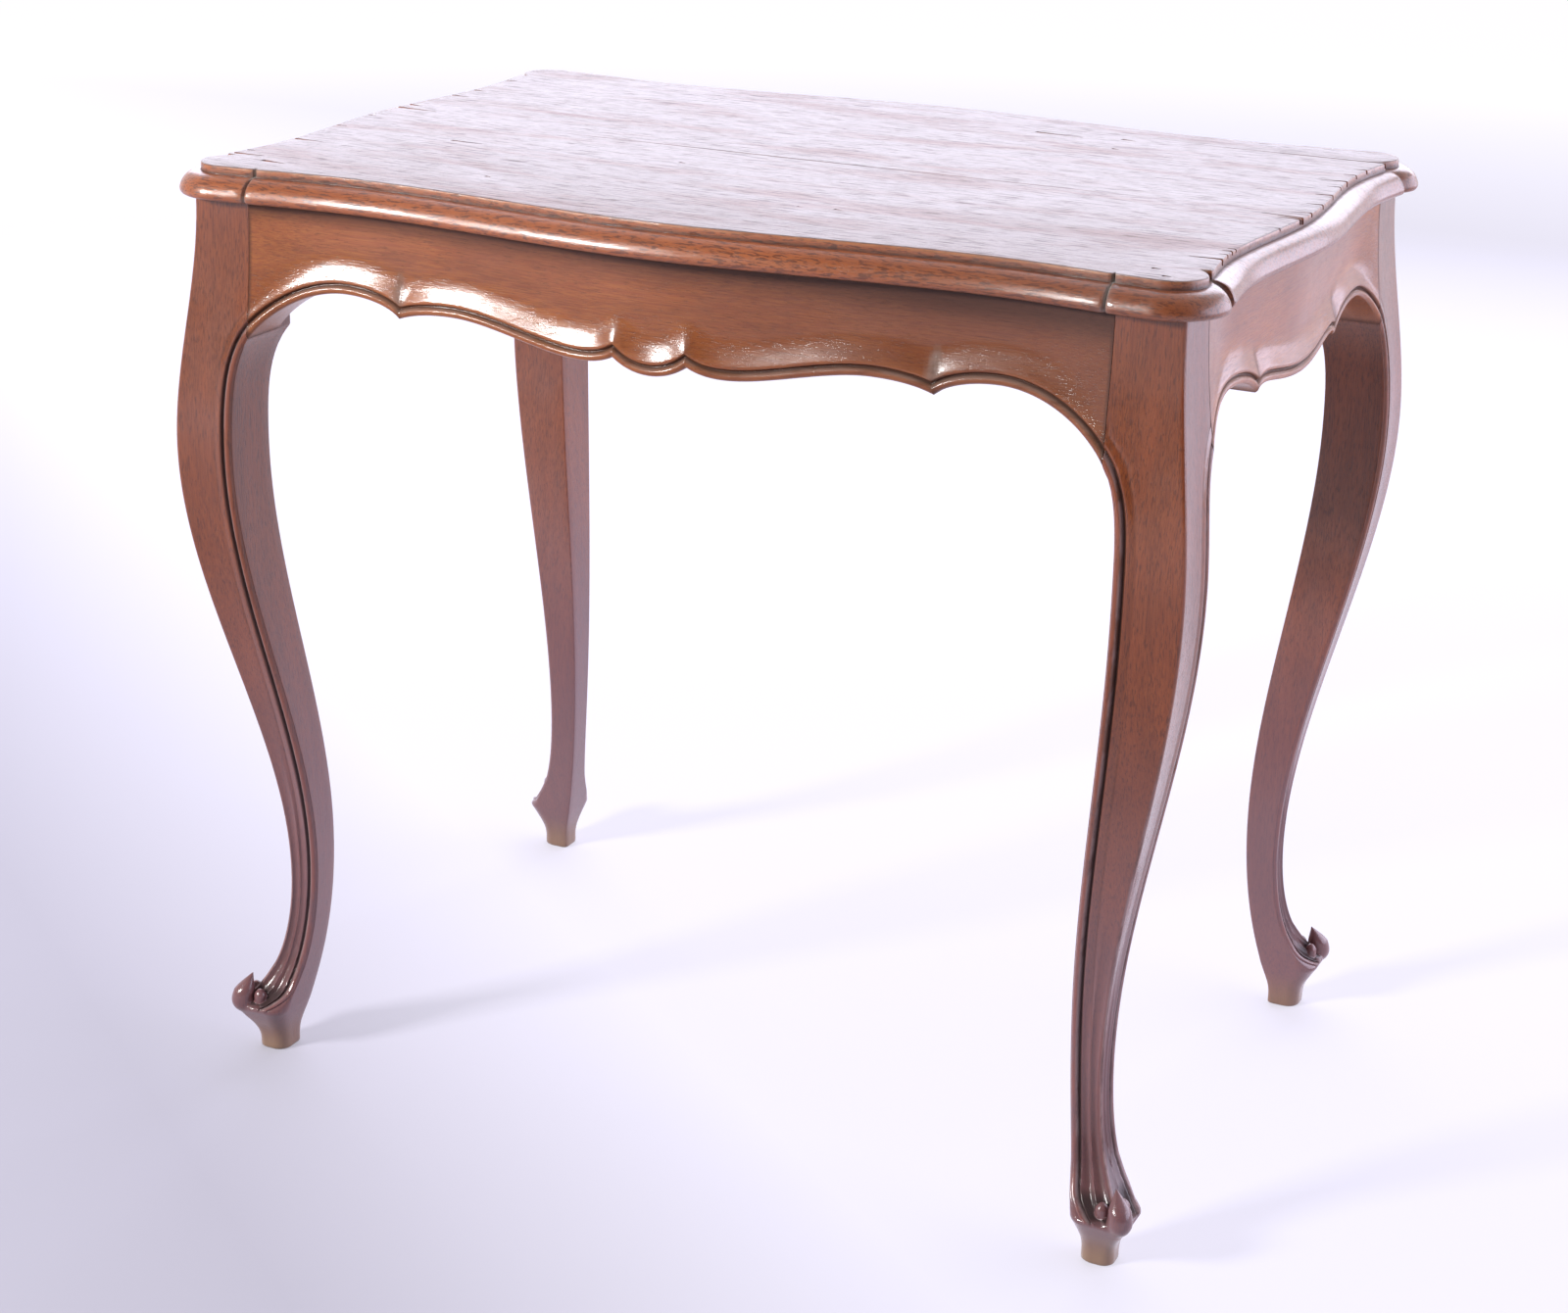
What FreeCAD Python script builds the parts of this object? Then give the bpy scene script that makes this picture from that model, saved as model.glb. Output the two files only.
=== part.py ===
import FreeCAD, Part
import math
import os

from FreeCAD import Vector

# Overall sizes in millimetres. The floor is z = 0 and the middle of the table is x = y = 0.
table_height = 715.0
post_face_x = 376.0
post_face_y = 254.0

# Moulded top: a raised field with a step down to a half round edge. Bows, hollows, ears and
# notches are measured from the outer faces of the leg posts.
field_step = 6.0
nose_thickness = 17.0
nose_overhang = 16.0
nose_sections = 7
long_edge_bow = 10.0
long_edge_hollow = 9.0
long_edge_hollow_from_post = 59.0
short_edge_bow = 5.0
short_edge_hollow = 4.5
short_edge_hollow_from_post = 42.0
ear_swell_x = 5.0
ear_radius = 24.0
long_notch_from_post = 4.0
long_notch_set_in = 3.0
short_notch_past_post = 4.0
short_notch_set_out = 1.0
notch_width = 7.0
notch_depth = 5.0
front_seam_y = -9.0
back_seam_from_face = 46.0

# Square cabriole leg: one S template used on both outer sides of a square blank
post_width = 47.0
knee_depth = 187.0
knee_swell = 16.0
knee_width = 49.4
ankle_height = 150.0
ankle_set_in = 35.0
calf_height = 180.0
calf_set_in = 60.7
calf_handle = 108.0
instep_height = 57.0
instep_set_in = 17.0
instep_lean = 10.0
instep_handle = 15.5
shin_section_count = 18
shin_crowding = 1.6
head_section_count = 4

# Scroll toe and the peg under it
scroll_rise = 6.5
scroll_end = 3.0
toe_height = 48.0
toe_reach = 2.0
foot_handle = 30.0
peg_height = 12.0
peg_width = 24.6
peg_set_in = 13.0

# Scalloped aprons, serpentine in plan and flared at the foot like the legs. Depths are measured
# down from the underside of the top, bows and hollows from the outer faces of the leg posts.
curve_steps = 6
seam_depth = 100.0
seam_run = 12.0
seam_slope = 1.5
seam_handle = 39.5
long_apron_thickness = 31.0
long_apron_bow = 2.5
long_apron_hollow = 13.5
short_apron_thickness = 33.0
short_apron_bow = 2.0
short_apron_hollow = 5.0
short_apron_hollow_from_post = 87.0
long_crest_depth = 60.0
long_crest_from_post = 77.0
outer_cusp_depth = 72.2
outer_cusp_from_post = 123.0
outer_cusp_rise = 4.3
outer_cusp_run = 11.5
lobe_crest_depth = 65.4
lobe_crest_from_post = 169.0
inner_cusp_depth = 75.0
inner_cusp_at = 28.5
lobe_sag = 17.0
long_drop_depth = 84.4
short_crest_depth = 69.0
short_crest_from_post = 57.0
side_cusp_depth = 84.0
side_cusp_from_post = 113.0
side_cusp_rise = 10.0
side_cusp_run = 14.0
short_drop_depth = 89.5

# Curve handles of the scallops, as parts of the spans that they lie on
cusp_handle = 0.6
crest_handle = 0.44
lobe_near_handle = 0.24
lobe_far_handle = 0.32
drop_handle = 0.42

# Mortise and tenon joints
tenon_thickness = 10.0
tenon_length = 24.0
tenon_setback = 12.0
tenon_shoulder = 10.0
tenon_height = 60.0
mortise_spare = 2.0

# Blocks glued inside the frame
corner_block_reach = 60.0
corner_block_height = 36.0
corner_block_drop = 4.0
glue_block_length = 70.0
glue_block_side = 22.0
glue_block_chamfer = 9.0
glue_block_at = 75.0

# Wood screws, and the holes and pockets that they stand in
rod_sides = 8
shank_diameter = 4.2
shank_clearance = 0.2
head_diameter = 8.4
head_thickness = 2.6
pocket_diameter = 10.0
pocket_tilt = 18.0
pocket_inset = 9.0
pocket_wood = 14.0
pocket_length = 60.0
top_screw_bite = 13.0
long_pocket_at = 165.0
short_pocket_at = 70.0
block_screw_at = 26.0
block_screw_wood = 14.0
block_screw_bite = 14.0

# Places that follow from the sizes above
top_underside = table_height - field_step - nose_thickness
long_inner = post_face_y - long_apron_thickness
short_inner = post_face_x - short_apron_thickness
post_inner_x = post_face_x - post_width
post_inner_y = post_face_y - post_width
back_seam_y = post_face_y - back_seam_from_face
knee_height = top_underside - knee_depth
seam_height = top_underside - seam_depth
tenon_low = top_underside - tenon_shoulder - tenon_height
outer_cusp_at = post_inner_x - outer_cusp_from_post
outer_cusp = top_underside - outer_cusp_depth
lobe_crest_at = post_inner_x - lobe_crest_from_post
lobe_crest = top_underside - lobe_crest_depth
inner_cusp = top_underside - inner_cusp_depth
side_cusp_at = post_inner_y - side_cusp_from_post
side_cusp = top_underside - side_cusp_depth
long_notch_at = post_inner_x - long_notch_from_post
long_notch_reach = post_face_y - long_notch_set_in
short_notch_at = post_inner_y + short_notch_past_post
short_notch_reach = post_face_x + short_notch_set_out
shank_hole_radius = shank_diameter / 2.0 + shank_clearance
beyond = 2.0 * table_height
halvings = 40
up = Vector(0, 0, 1)
outward = Vector(0, 1, 0)


def bezier(points):
    curve = Part.BezierCurve()
    curve.setPoles(points)
    return curve


def spline(points):
    curve = Part.BSplineCurve()
    curve.interpolate(points)
    return curve.toShape()


def joined(edges):
    return Part.Wire(Part.__sortEdges__(edges))


def polygon_face(points):
    return Part.Face(Part.makePolygon(points + points[:1]))


def on_elevation(point):
    """A point of a drawing on the x-z plane."""
    return Vector(point[0], 0, point[1])


def other_side(shape):
    """The shape with x and y exchanged, for the other side of a corner."""
    return shape.mirror(Vector(), Vector(1, -1, 0))


def to_front(shape):
    return shape.mirror(Vector(), Vector(0, 1, 0))


def to_left(shape):
    return shape.mirror(Vector(), Vector(1, 0, 0))


def parameter_at(curve, height):
    """Where a curve that only rises or only falls passes a height."""
    low = 0.0
    high = 1.0
    rising = curve.value(high).z > curve.value(low).z
    for halving in range(halvings):
        middle = (low + high) / 2.0
        if (curve.value(middle).z < height) == rising:
            low = middle
        else:
            high = middle
    return high


def offset_at(chain, height):
    """Offset of a chain of curves on the x-z plane at one height."""
    for poles in chain:
        ends = sorted((poles[0][1], poles[-1][1]))
        if ends[0] <= height <= ends[1]:
            curve = bezier([on_elevation(p) for p in poles])
            return curve.value(parameter_at(curve, height)).x


def rod(start, direction, radius, length):
    """Rod with a few flat sides, for a screw or for the hole that it goes in."""
    turns = [2.0 * math.pi * k / rod_sides for k in range(rod_sides)]
    ring = [Vector(radius * math.cos(turn), radius * math.sin(turn), 0) for turn in turns]
    prism = polygon_face(ring).extrude(up * length)
    prism.Placement = FreeCAD.Placement(start, FreeCAD.Rotation(up, direction))
    return prism


def wood_screw(seat, direction, length):
    """Screw with its head seated at a point and its shank running along a direction."""
    head = rod(seat, -direction, head_diameter / 2.0, head_thickness)
    return head.fuse(rod(seat, direction, shank_diameter / 2.0, length))


# Top

def serpentine_edge(bow, hollow, hollow_at, end, end_at):
    """Serpentine edge along x, bowed in the middle and hollow towards its two ends."""
    shoulder = (2.0 * bow + hollow) / 3.0
    half = [Vector(end_at, end, 0), Vector(hollow_at, hollow, 0),
            Vector(hollow_at / 3.0, shoulder, 0)]
    mirrored = [Vector(-p.x, p.y, 0) for p in half]
    return spline(half + [Vector(0, bow, 0)] + mirrored[::-1])


def long_edge(off):
    """Back edge of the top between its two notches, moved outward by one offset."""
    reach = post_face_y + off
    return serpentine_edge(reach + long_edge_bow, reach - long_edge_hollow,
                           post_inner_x - long_edge_hollow_from_post,
                           long_notch_reach + off, long_notch_at - notch_width / 2.0)


def short_edge(off):
    """Right edge of the top between its two notches, moved outward by one offset."""
    reach = post_face_x + off
    edge = serpentine_edge(reach + short_edge_bow, reach - short_edge_hollow,
                           post_inner_y - short_edge_hollow_from_post,
                           short_notch_reach + off, short_notch_at - notch_width / 2.0)
    return other_side(edge)


def ear_edges(off):
    """Back right ear of the top with the notch at each end of it."""
    half = notch_width / 2.0
    radius = ear_radius + off
    centre = Vector(post_face_x + ear_swell_x - ear_radius, post_face_y - ear_radius, 0)
    slant = radius * math.sqrt(0.5)
    arc_start = centre + Vector(0, radius, 0)
    arc_end = centre + Vector(radius, 0, 0)
    long_run = [Vector(long_notch_at - half, long_notch_reach + off, 0),
                Vector(long_notch_at, long_notch_reach - notch_depth + off, 0),
                Vector(long_notch_at + half, long_notch_reach + off, 0), arc_start]
    short_run = [arc_end, Vector(short_notch_reach + off, short_notch_at + half, 0),
                 Vector(short_notch_reach - notch_depth + off, short_notch_at, 0),
                 Vector(short_notch_reach + off, short_notch_at - half, 0)]
    edges = [Part.Arc(arc_start, centre + Vector(slant, slant, 0), arc_end).toShape()]
    for run in (long_run, short_run):
        edges += [Part.makeLine(a, b) for a, b in zip(run, run[1:])]
    return edges


def top_outline(off, height):
    edges = [long_edge(off), to_front(long_edge(off)), short_edge(off), to_left(short_edge(off))]
    for edge in ear_edges(off):
        edges += [edge, to_left(edge), to_front(edge), to_left(to_front(edge))]
    wire = joined(edges)
    wire.translate(up * height)
    return wire


def whole_top():
    """Half round edge lofted through offset outlines, with the raised field on it."""
    radius = nose_thickness / 2.0
    rings = []
    for k in range(nose_sections):
        angle = math.pi * (k / (nose_sections - 1.0) - 0.5)
        off = nose_overhang - radius + radius * math.cos(angle)
        rings.append(top_outline(off, top_underside + radius + radius * math.sin(angle)))
    nose = Part.makeLoft(rings, True, True)
    field = Part.Face(top_outline(0.0, table_height - field_step)).extrude(up * field_step)
    return nose.fuse(field).removeSplitter()


def board(top, low, high):
    """One of the boards that the top is glued up from, between two seams."""
    corner = Vector(-beyond / 2.0, low, 0)
    return top.common(Part.makeBox(beyond, high - low, beyond, corner))


# Legs

def leg_outer_chain():
    """Outer side of the S template from the top down to the instep, as (offset, height) poles."""
    upper = (top_underside - knee_height) / 3.0
    shin = (knee_height - ankle_height) / 3.0
    drop = (ankle_height - instep_height) / 2.0
    knee = (knee_swell, knee_height)
    ankle = (-ankle_set_in, ankle_height)
    instep = (-instep_set_in, instep_height)
    return [
        [(0.0, top_underside), (0.0, top_underside - upper), (knee[0], knee[1] + upper), knee],
        [knee, (knee[0], knee[1] - shin), (ankle[0], ankle[1] + shin), ankle],
        [ankle, (ankle[0], ankle[1] - drop),
         (instep[0] - instep_lean, instep[1] + instep_handle), instep],
    ]


def leg_inner_chain():
    """Inner side of the S template from the floor up to the apron seam."""
    foot = (-peg_set_in - peg_width, 0.0)
    calf = (-calf_set_in, calf_height)
    knee = (knee_swell - knee_width, knee_height)
    seam = (-post_width, seam_height)
    shin = (knee_height - calf_height) / 3.0
    return [
        [foot, (foot[0], foot_handle), (calf[0], calf[1] - calf_handle), calf],
        [calf, (calf[0], calf[1] + shin), (knee[0], knee[1] - shin), knee],
        [knee, (knee[0], knee[1] + seam_handle),
         (seam[0] + seam_run, seam[1] - seam_run * seam_slope), seam],
    ]


def square_ring(height):
    """Square section of the leg at one height, the template standing on two of its sides."""
    outer = offset_at(leg_outer_chain(), height)
    inner = -post_width
    if height < seam_height:
        inner = offset_at(leg_inner_chain(), height)
    corners = [(inner, inner), (outer, inner), (outer, outer), (inner, outer)]
    points = [Vector(x, y, height) for x, y in corners]
    return Part.makePolygon(points + points[:1])


def leg_length(low, high, sections, crowding):
    """Stretch of the leg lofted through square sections, which may crowd towards its lower end."""
    parts = [(k / float(sections)) ** crowding for k in range(sections + 1)]
    return Part.makeLoft([square_ring(low + (high - low) * part) for part in parts], True, False)


def foot_template():
    """Scroll toe and peg below the instep, the post face lying on x = 0."""
    instep = (-instep_set_in, instep_height)
    crown = (-(instep_set_in + scroll_end) / 2.0, instep_height + scroll_rise)
    scroll = (-scroll_end, instep_height)
    tip = (toe_reach, toe_height)
    under = (toe_reach - scroll_end / 2.0, toe_height - scroll_rise)
    peg_top = (-peg_set_in, peg_height)
    hollow = [under, (under[0] - scroll_end, under[1] - scroll_rise),
              (peg_top[0], peg_top[1] + peg_height), peg_top]
    inner_side = bezier([on_elevation(p) for p in leg_inner_chain()[0]])
    inner_side.segment(0.0, parameter_at(inner_side, instep_height))
    sole = [peg_top, (-peg_set_in, 0.0), (-peg_set_in - peg_width, 0.0)]
    edges = [inner_side.toShape(), bezier([on_elevation(p) for p in hollow]).toShape()]
    edges.append(Part.makeLine(inner_side.EndPoint, on_elevation(instep)))
    for arc in ((instep, crown, scroll), (scroll, tip, under)):
        edges.append(Part.Arc(*[on_elevation(p) for p in arc]).toShape())
    edges += [Part.makeLine(on_elevation(a), on_elevation(b)) for a, b in zip(sole, sole[1:])]
    return Part.Face(joined(edges))


def foot():
    """Scroll toe and square peg, sawn by one template from two sides of the blank."""
    blank = post_width + calf_set_in
    side = foot_template().extrude(outward * 2.0 * blank)
    side.translate(outward * -blank)
    return side.common(other_side(side))


def mortise():
    return Part.makeBox(tenon_length + mortise_spare, tenon_thickness, tenon_height,
                        Vector(-post_width, -tenon_setback - tenon_thickness, tenon_low))


def back_right_leg():
    """Square cabriole leg: foot, shin and post in one piece, mortised on two sides."""
    shin = leg_length(instep_height, seam_height, shin_section_count, shin_crowding)
    head = leg_length(seam_height, top_underside, head_section_count, 1.0)
    leg = foot().fuse(shin).fuse(head)
    leg = leg.cut(mortise()).cut(other_side(mortise())).removeSplitter()
    leg.translate(Vector(post_face_x, post_face_y, 0))
    return leg


# Aprons, drawn along x with the outer face towards +y

def arch(cusp_at, cusp, crest_at, crest, seam_at):
    """Right end of an apron edge, from a cusp over the arch to the leg."""
    rise = (crest - cusp) * cusp_handle
    near = (crest_at - cusp_at) * crest_handle
    far = (seam_at - crest_at) * crest_handle
    return [
        [(cusp_at, cusp), (cusp_at + rise, cusp + rise), (crest_at - near, crest),
         (crest_at, crest)],
        [(crest_at, crest), (crest_at + far, crest),
         (seam_at - seam_run, seam_height + seam_run * seam_slope), (seam_at, seam_height)],
    ]


def mirrored_chain(half):
    return [[(-x, z) for x, z in poles[::-1]] for poles in half[::-1]]


def long_chain():
    """Lower edge of a long apron: a drop in the middle, two lobes and two arches."""
    lobe = lobe_crest_at - inner_cusp_at
    fall = (outer_cusp_at - lobe_crest_at) * crest_handle
    belly = (4.0 * (top_underside - long_drop_depth) - inner_cusp) / 3.0
    near = inner_cusp_at * drop_handle
    drop = [(-inner_cusp_at, inner_cusp), (-near, belly), (near, belly),
            (inner_cusp_at, inner_cusp)]
    half = [
        [(inner_cusp_at, inner_cusp),
         (inner_cusp_at + lobe * lobe_near_handle, inner_cusp - lobe_sag),
         (lobe_crest_at - lobe * lobe_far_handle, lobe_crest), (lobe_crest_at, lobe_crest)],
        [(lobe_crest_at, lobe_crest), (lobe_crest_at + fall, lobe_crest),
         (outer_cusp_at - outer_cusp_run, outer_cusp + outer_cusp_rise),
         (outer_cusp_at, outer_cusp)],
    ]
    half += arch(outer_cusp_at, outer_cusp, post_inner_x - long_crest_from_post,
                 top_underside - long_crest_depth, post_inner_x)
    return mirrored_chain(half) + [drop] + half


def short_chain():
    """Lower edge of a short apron: one wide lobe between two arches."""
    drop = top_underside - short_drop_depth
    half = [[(0.0, drop), (side_cusp_at / 2.0, drop),
             (side_cusp_at - side_cusp_run, side_cusp + side_cusp_rise),
             (side_cusp_at, side_cusp)]]
    half += arch(side_cusp_at, side_cusp, post_inner_y - short_crest_from_post,
                 top_underside - short_crest_depth, post_inner_y)
    return mirrored_chain(half) + half


def stations(chain):
    """Points along a chain of curves, the same number on each curve."""
    points = []
    for poles in chain:
        curve = bezier([on_elevation(p) for p in poles])
        points += [curve.value(k / float(curve_steps)) for k in range(curve_steps)]
    return points + [curve.value(1.0)]


def serpentine(along, bow, hollow, hollow_at, end, end_at):
    """Reach of a serpentine face, which lies level at its bow, its hollows and its ends."""
    place = abs(along)
    if place <= hollow_at:
        swing = math.cos(math.pi * place / hollow_at)
        return hollow + (bow - hollow) * (1.0 + swing) / 2.0
    swing = math.cos(math.pi * (place - hollow_at) / (end_at - hollow_at))
    return end + (hollow - end) * (1.0 + swing) / 2.0


def long_reach(along):
    return serpentine(along, post_face_y + long_apron_bow, post_face_y - long_apron_hollow,
                      outer_cusp_at, post_face_y, post_inner_x)


def short_reach(along):
    return serpentine(along, post_face_x + short_apron_bow, post_face_x - short_apron_hollow,
                      post_inner_y - short_apron_hollow_from_post, post_face_x, post_inner_y)


def rail(chain, reach, inner):
    """Scalloped rail lofted through one flared section at each station of its lower edge."""
    flare = leg_outer_chain()[0]
    sections = []
    for station in stations(chain):
        along = station.x
        face = bezier([Vector(along, reach(along) + off, z) for off, z in flare])
        face.segment(0.0, parameter_at(face, station.z))
        corners = [face.EndPoint, Vector(along, inner, face.EndPoint.z),
                   Vector(along, inner, top_underside), face.StartPoint]
        lines = [Part.makeLine(a, b) for a, b in zip(corners, corners[1:])]
        sections.append(Part.Wire([face.toShape()] + lines))
    return Part.makeLoft(sections, True, True)


def pocket_seat(along, inner):
    """Where a pocket screw's head sits in an apron, and the way that the screw runs."""
    tilt = math.radians(pocket_tilt)
    direction = Vector(0, math.sin(tilt), math.cos(tilt))
    return Vector(along, inner + pocket_inset, top_underside) - direction * pocket_wood, direction


def pocket_cutter(along, inner):
    """Screw pocket bored from the inside of an apron up into the top."""
    seat, direction = pocket_seat(along, inner)
    pocket = rod(seat, -direction, pocket_diameter / 2.0, pocket_length)
    hole = rod(seat, direction, shank_hole_radius, pocket_wood + top_screw_bite)
    return pocket.fuse(hole)


def apron(chain, reach, inner, face, pocket_at, block_end):
    """Scalloped rail with a tenon at each end and its screw holes."""
    body = rail(chain, reach, inner)
    end_at = chain[-1][-1][0]
    for left in (-end_at - tenon_length, end_at):
        low = Vector(left, face - tenon_setback - tenon_thickness, tenon_low)
        body = body.fuse(Part.makeBox(tenon_length, tenon_thickness, tenon_height, low))
    for side in (-1, 1):
        body = body.cut(pocket_cutter(side * pocket_at, inner))
        seat = block_screw_seat(side * block_end, inner)
        length = block_screw_wood + block_screw_bite
        body = body.cut(rod(seat, outward, shank_hole_radius, length))
    return body.removeSplitter()


# Blocks and screws inside the frame

def block_screw_seat(along, inner):
    height = top_underside - corner_block_drop - corner_block_height / 2.0
    return Vector(along, inner - block_screw_wood, height)


def block_ends():
    """Where the corner block screws stand along the long and the short aprons."""
    shift = corner_block_reach - block_screw_at
    return post_inner_x - shift, post_inner_y - shift


def block_screw_pair():
    """The two screws of the back right corner block."""
    long_end, short_end = block_ends()
    length = block_screw_wood + block_screw_bite
    direct = wood_screw(block_screw_seat(long_end, long_inner), outward, length)
    turned = wood_screw(block_screw_seat(short_end, short_inner), outward, length)
    return [direct, other_side(turned)]


def back_right_corner_block():
    """Three cornered block fitted round the inner corner of a leg, with counterbored holes."""
    corners = [(post_inner_x - corner_block_reach, long_inner), (post_inner_x, long_inner),
               (post_inner_x, post_inner_y), (short_inner, post_inner_y),
               (short_inner, post_inner_y - corner_block_reach)]
    low = top_underside - corner_block_drop - corner_block_height
    block = polygon_face([Vector(x, y, low) for x, y in corners]).extrude(up * corner_block_height)
    long_end, short_end = block_ends()
    for along, inner, turn in ((long_end, long_inner, False), (short_end, short_inner, True)):
        seat = block_screw_seat(along, inner)
        cutter = rod(seat, -outward, pocket_diameter / 2.0, corner_block_reach)
        cutter = cutter.fuse(rod(seat, outward, shank_hole_radius, block_screw_wood))
        block = block.cut(other_side(cutter) if turn else cutter)
    return block


def glue_block(along, inner):
    """Block rubbed into the angle between an apron and the underside of the top."""
    far = inner - glue_block_side
    low = top_underside - glue_block_side
    corners = [(inner, top_underside), (inner, low), (far + glue_block_chamfer, low),
               (far, low + glue_block_chamfer), (far, top_underside)]
    points = [Vector(along - glue_block_length / 2.0, y, z) for y, z in corners]
    return polygon_face(points).extrude(Vector(glue_block_length, 0, 0))


def pocket_screw(along, inner):
    seat, direction = pocket_seat(along, inner)
    return wood_screw(seat, direction, pocket_wood + top_screw_bite)


def four_corners(name, shape):
    """The same piece mirrored into the four corners of the table, by name."""
    return {name + "_back_right": shape, name + "_back_left": to_left(shape),
            name + "_front_right": to_front(shape),
            name + "_front_left": to_left(to_front(shape))}


def in_corners(shapes):
    """All the copies of some shapes in the four corners, as one list."""
    return [copy for shape in shapes for copy in four_corners("copy", shape).values()]


def build():
    long_end, short_end = block_ends()
    long_apron = apron(long_chain(), long_reach, long_inner, post_face_y, long_pocket_at, long_end)
    short_apron = other_side(apron(short_chain(), short_reach, short_inner, post_face_x,
                                   short_pocket_at, short_end))
    nodes = {"apron_back": long_apron, "apron_front": to_front(long_apron),
             "apron_right": short_apron, "apron_left": to_left(short_apron)}
    nodes.update(four_corners("leg", back_right_leg()))
    nodes.update(four_corners("corner_block", back_right_corner_block()))
    nodes.update(four_corners("glue_block", glue_block(glue_block_at, long_inner)))
    side_glue_block = other_side(glue_block(0.0, short_inner))
    nodes["glue_block_right"] = side_glue_block
    nodes["glue_block_left"] = to_left(side_glue_block)

    top_screws = [pocket_screw(long_pocket_at, long_inner),
                  other_side(pocket_screw(short_pocket_at, short_inner))]
    nodes["top_screws"] = Part.makeCompound(in_corners(top_screws))
    nodes["corner_block_screws"] = Part.makeCompound(in_corners(block_screw_pair()))

    top = whole_top()
    holes = [pocket_cutter(long_pocket_at, long_inner),
             other_side(pocket_cutter(short_pocket_at, short_inner))]
    for hole in in_corners(holes):
        top = top.cut(hole)
    nodes["top_board_front"] = board(top, -beyond, front_seam_y)
    nodes["top_board_middle"] = board(top, front_seam_y, back_seam_y)
    nodes["top_board_back"] = board(top, back_seam_y, beyond)
    return nodes


os.makedirs("parts", exist_ok=True)
for name, shape in build().items():
    shape.exportStep("parts/" + name + ".step")
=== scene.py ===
import math
import bpy
import numpy as np
from mathutils import Matrix, Vector


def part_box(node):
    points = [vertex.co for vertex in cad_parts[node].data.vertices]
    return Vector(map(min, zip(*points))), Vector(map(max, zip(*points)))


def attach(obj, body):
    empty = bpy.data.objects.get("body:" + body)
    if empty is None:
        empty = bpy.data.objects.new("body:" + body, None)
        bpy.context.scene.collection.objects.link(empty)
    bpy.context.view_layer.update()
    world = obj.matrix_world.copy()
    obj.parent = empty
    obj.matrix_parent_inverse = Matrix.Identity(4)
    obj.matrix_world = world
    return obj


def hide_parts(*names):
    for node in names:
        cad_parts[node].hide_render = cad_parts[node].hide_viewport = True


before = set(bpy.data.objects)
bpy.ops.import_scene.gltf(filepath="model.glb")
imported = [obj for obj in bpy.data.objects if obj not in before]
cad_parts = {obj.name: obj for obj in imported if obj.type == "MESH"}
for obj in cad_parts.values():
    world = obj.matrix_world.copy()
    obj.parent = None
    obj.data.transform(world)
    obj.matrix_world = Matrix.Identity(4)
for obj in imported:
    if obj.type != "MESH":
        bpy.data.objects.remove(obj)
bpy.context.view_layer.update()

mm = 0.001  # all the joiner's sizes below are in millimetres
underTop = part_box("leg_front_left")[1][2] / mm  # top of the posts, where the top boards lie
postX = 376.0  # outer faces of the leg posts
postY = 254.0
post = 47.0
legMeets = 592.0  # height where the lower edge of an apron runs into the leg
daylight = 0.12  # hair of daylight left at the glued joints
weld = 0.02 * mm  # points nearer than this are merged
print("frame loaded, underside of the top at", round(underTop, 1))


# small helpers
def clearSelection():
    bpy.ops.object.select_all(action="DESELECT")


def pick(obj):
    clearSelection()
    obj.select_set(True)
    bpy.context.view_layer.objects.active = obj


def linear(code):
    parts = [int(code[i:i + 2], 16) / 255 for i in (1, 3, 5)]
    return tuple(v / 12.92 if v <= 0.04045 else ((v + 0.055) / 1.055) ** 2.4 for v in parts) + (1.0,)


def addNode(tree, kind, links=None, **settings):
    node = tree.nodes.new(kind)
    for key, value in settings.items():
        setattr(node, key, value)
    for key, value in (links or {}).items():
        if isinstance(value, bpy.types.NodeSocket):
            tree.links.new(value, node.inputs[key])
        else:
            node.inputs[key].default_value = value
    return node


def emptyMaterial(name):
    mat = bpy.data.materials.new(name)
    mat.use_nodes = True
    mat.node_tree.nodes.clear()
    return mat, mat.node_tree


def curve(chain, count=40):
    # points along a run of four-pole curves, joints kept once
    t = np.linspace(0, 1, count)[:, None]
    runs = []
    for poles in chain:
        a, b, c, d = (np.array(p, float) for p in poles)
        run = (1 - t) ** 3 * a + 3 * t * (1 - t) ** 2 * b + 3 * t * t * (1 - t) * c + t ** 3 * d
        runs.append(run if not runs else run[1:])
    return np.concatenate(runs)


def smoothThrough(knots, values, at):
    # natural cubic through a few measured values
    k, v = np.array(knots, float), np.array(values, float)
    n, h = len(k), np.diff(k)
    m = np.eye(n)
    rhs = np.zeros(n)
    for i in range(1, n - 1):
        m[i, i - 1:i + 2] = h[i - 1], 2 * (h[i - 1] + h[i]), h[i]
        rhs[i] = 6 * ((v[i + 1] - v[i]) / h[i] - (v[i] - v[i - 1]) / h[i - 1])
    bend = np.linalg.solve(m, rhs)
    at = np.clip(np.array(at, float), k[0], k[-1])
    j = np.clip(np.searchsorted(k, at) - 1, 0, n - 2)
    a, b = (k[j + 1] - at) / h[j], (at - k[j]) / h[j]
    return a * v[j] + b * v[j + 1] + ((a ** 3 - a) * bend[j] + (b ** 3 - b) * bend[j + 1]) * h[j] ** 2 / 6


def serpentine(half, at):
    # smooth line through half a plan and its mirror image
    half = np.array(half, float)
    both = np.concatenate([half[:0:-1] * (-1, 1), half])
    return smoothThrough(both[:, 0], both[:, 1], at)


def ease(low, high, value):
    t = np.clip((np.asarray(value, float) - low) / (high - low), 0, 1)
    return t * t * (3 - 2 * t)


def softMin(a, b, k):
    h = np.clip(0.5 + 0.5 * (b - a) / k, 0, 1)
    return b + (a - b) * h - k * h * (1 - h)


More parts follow.
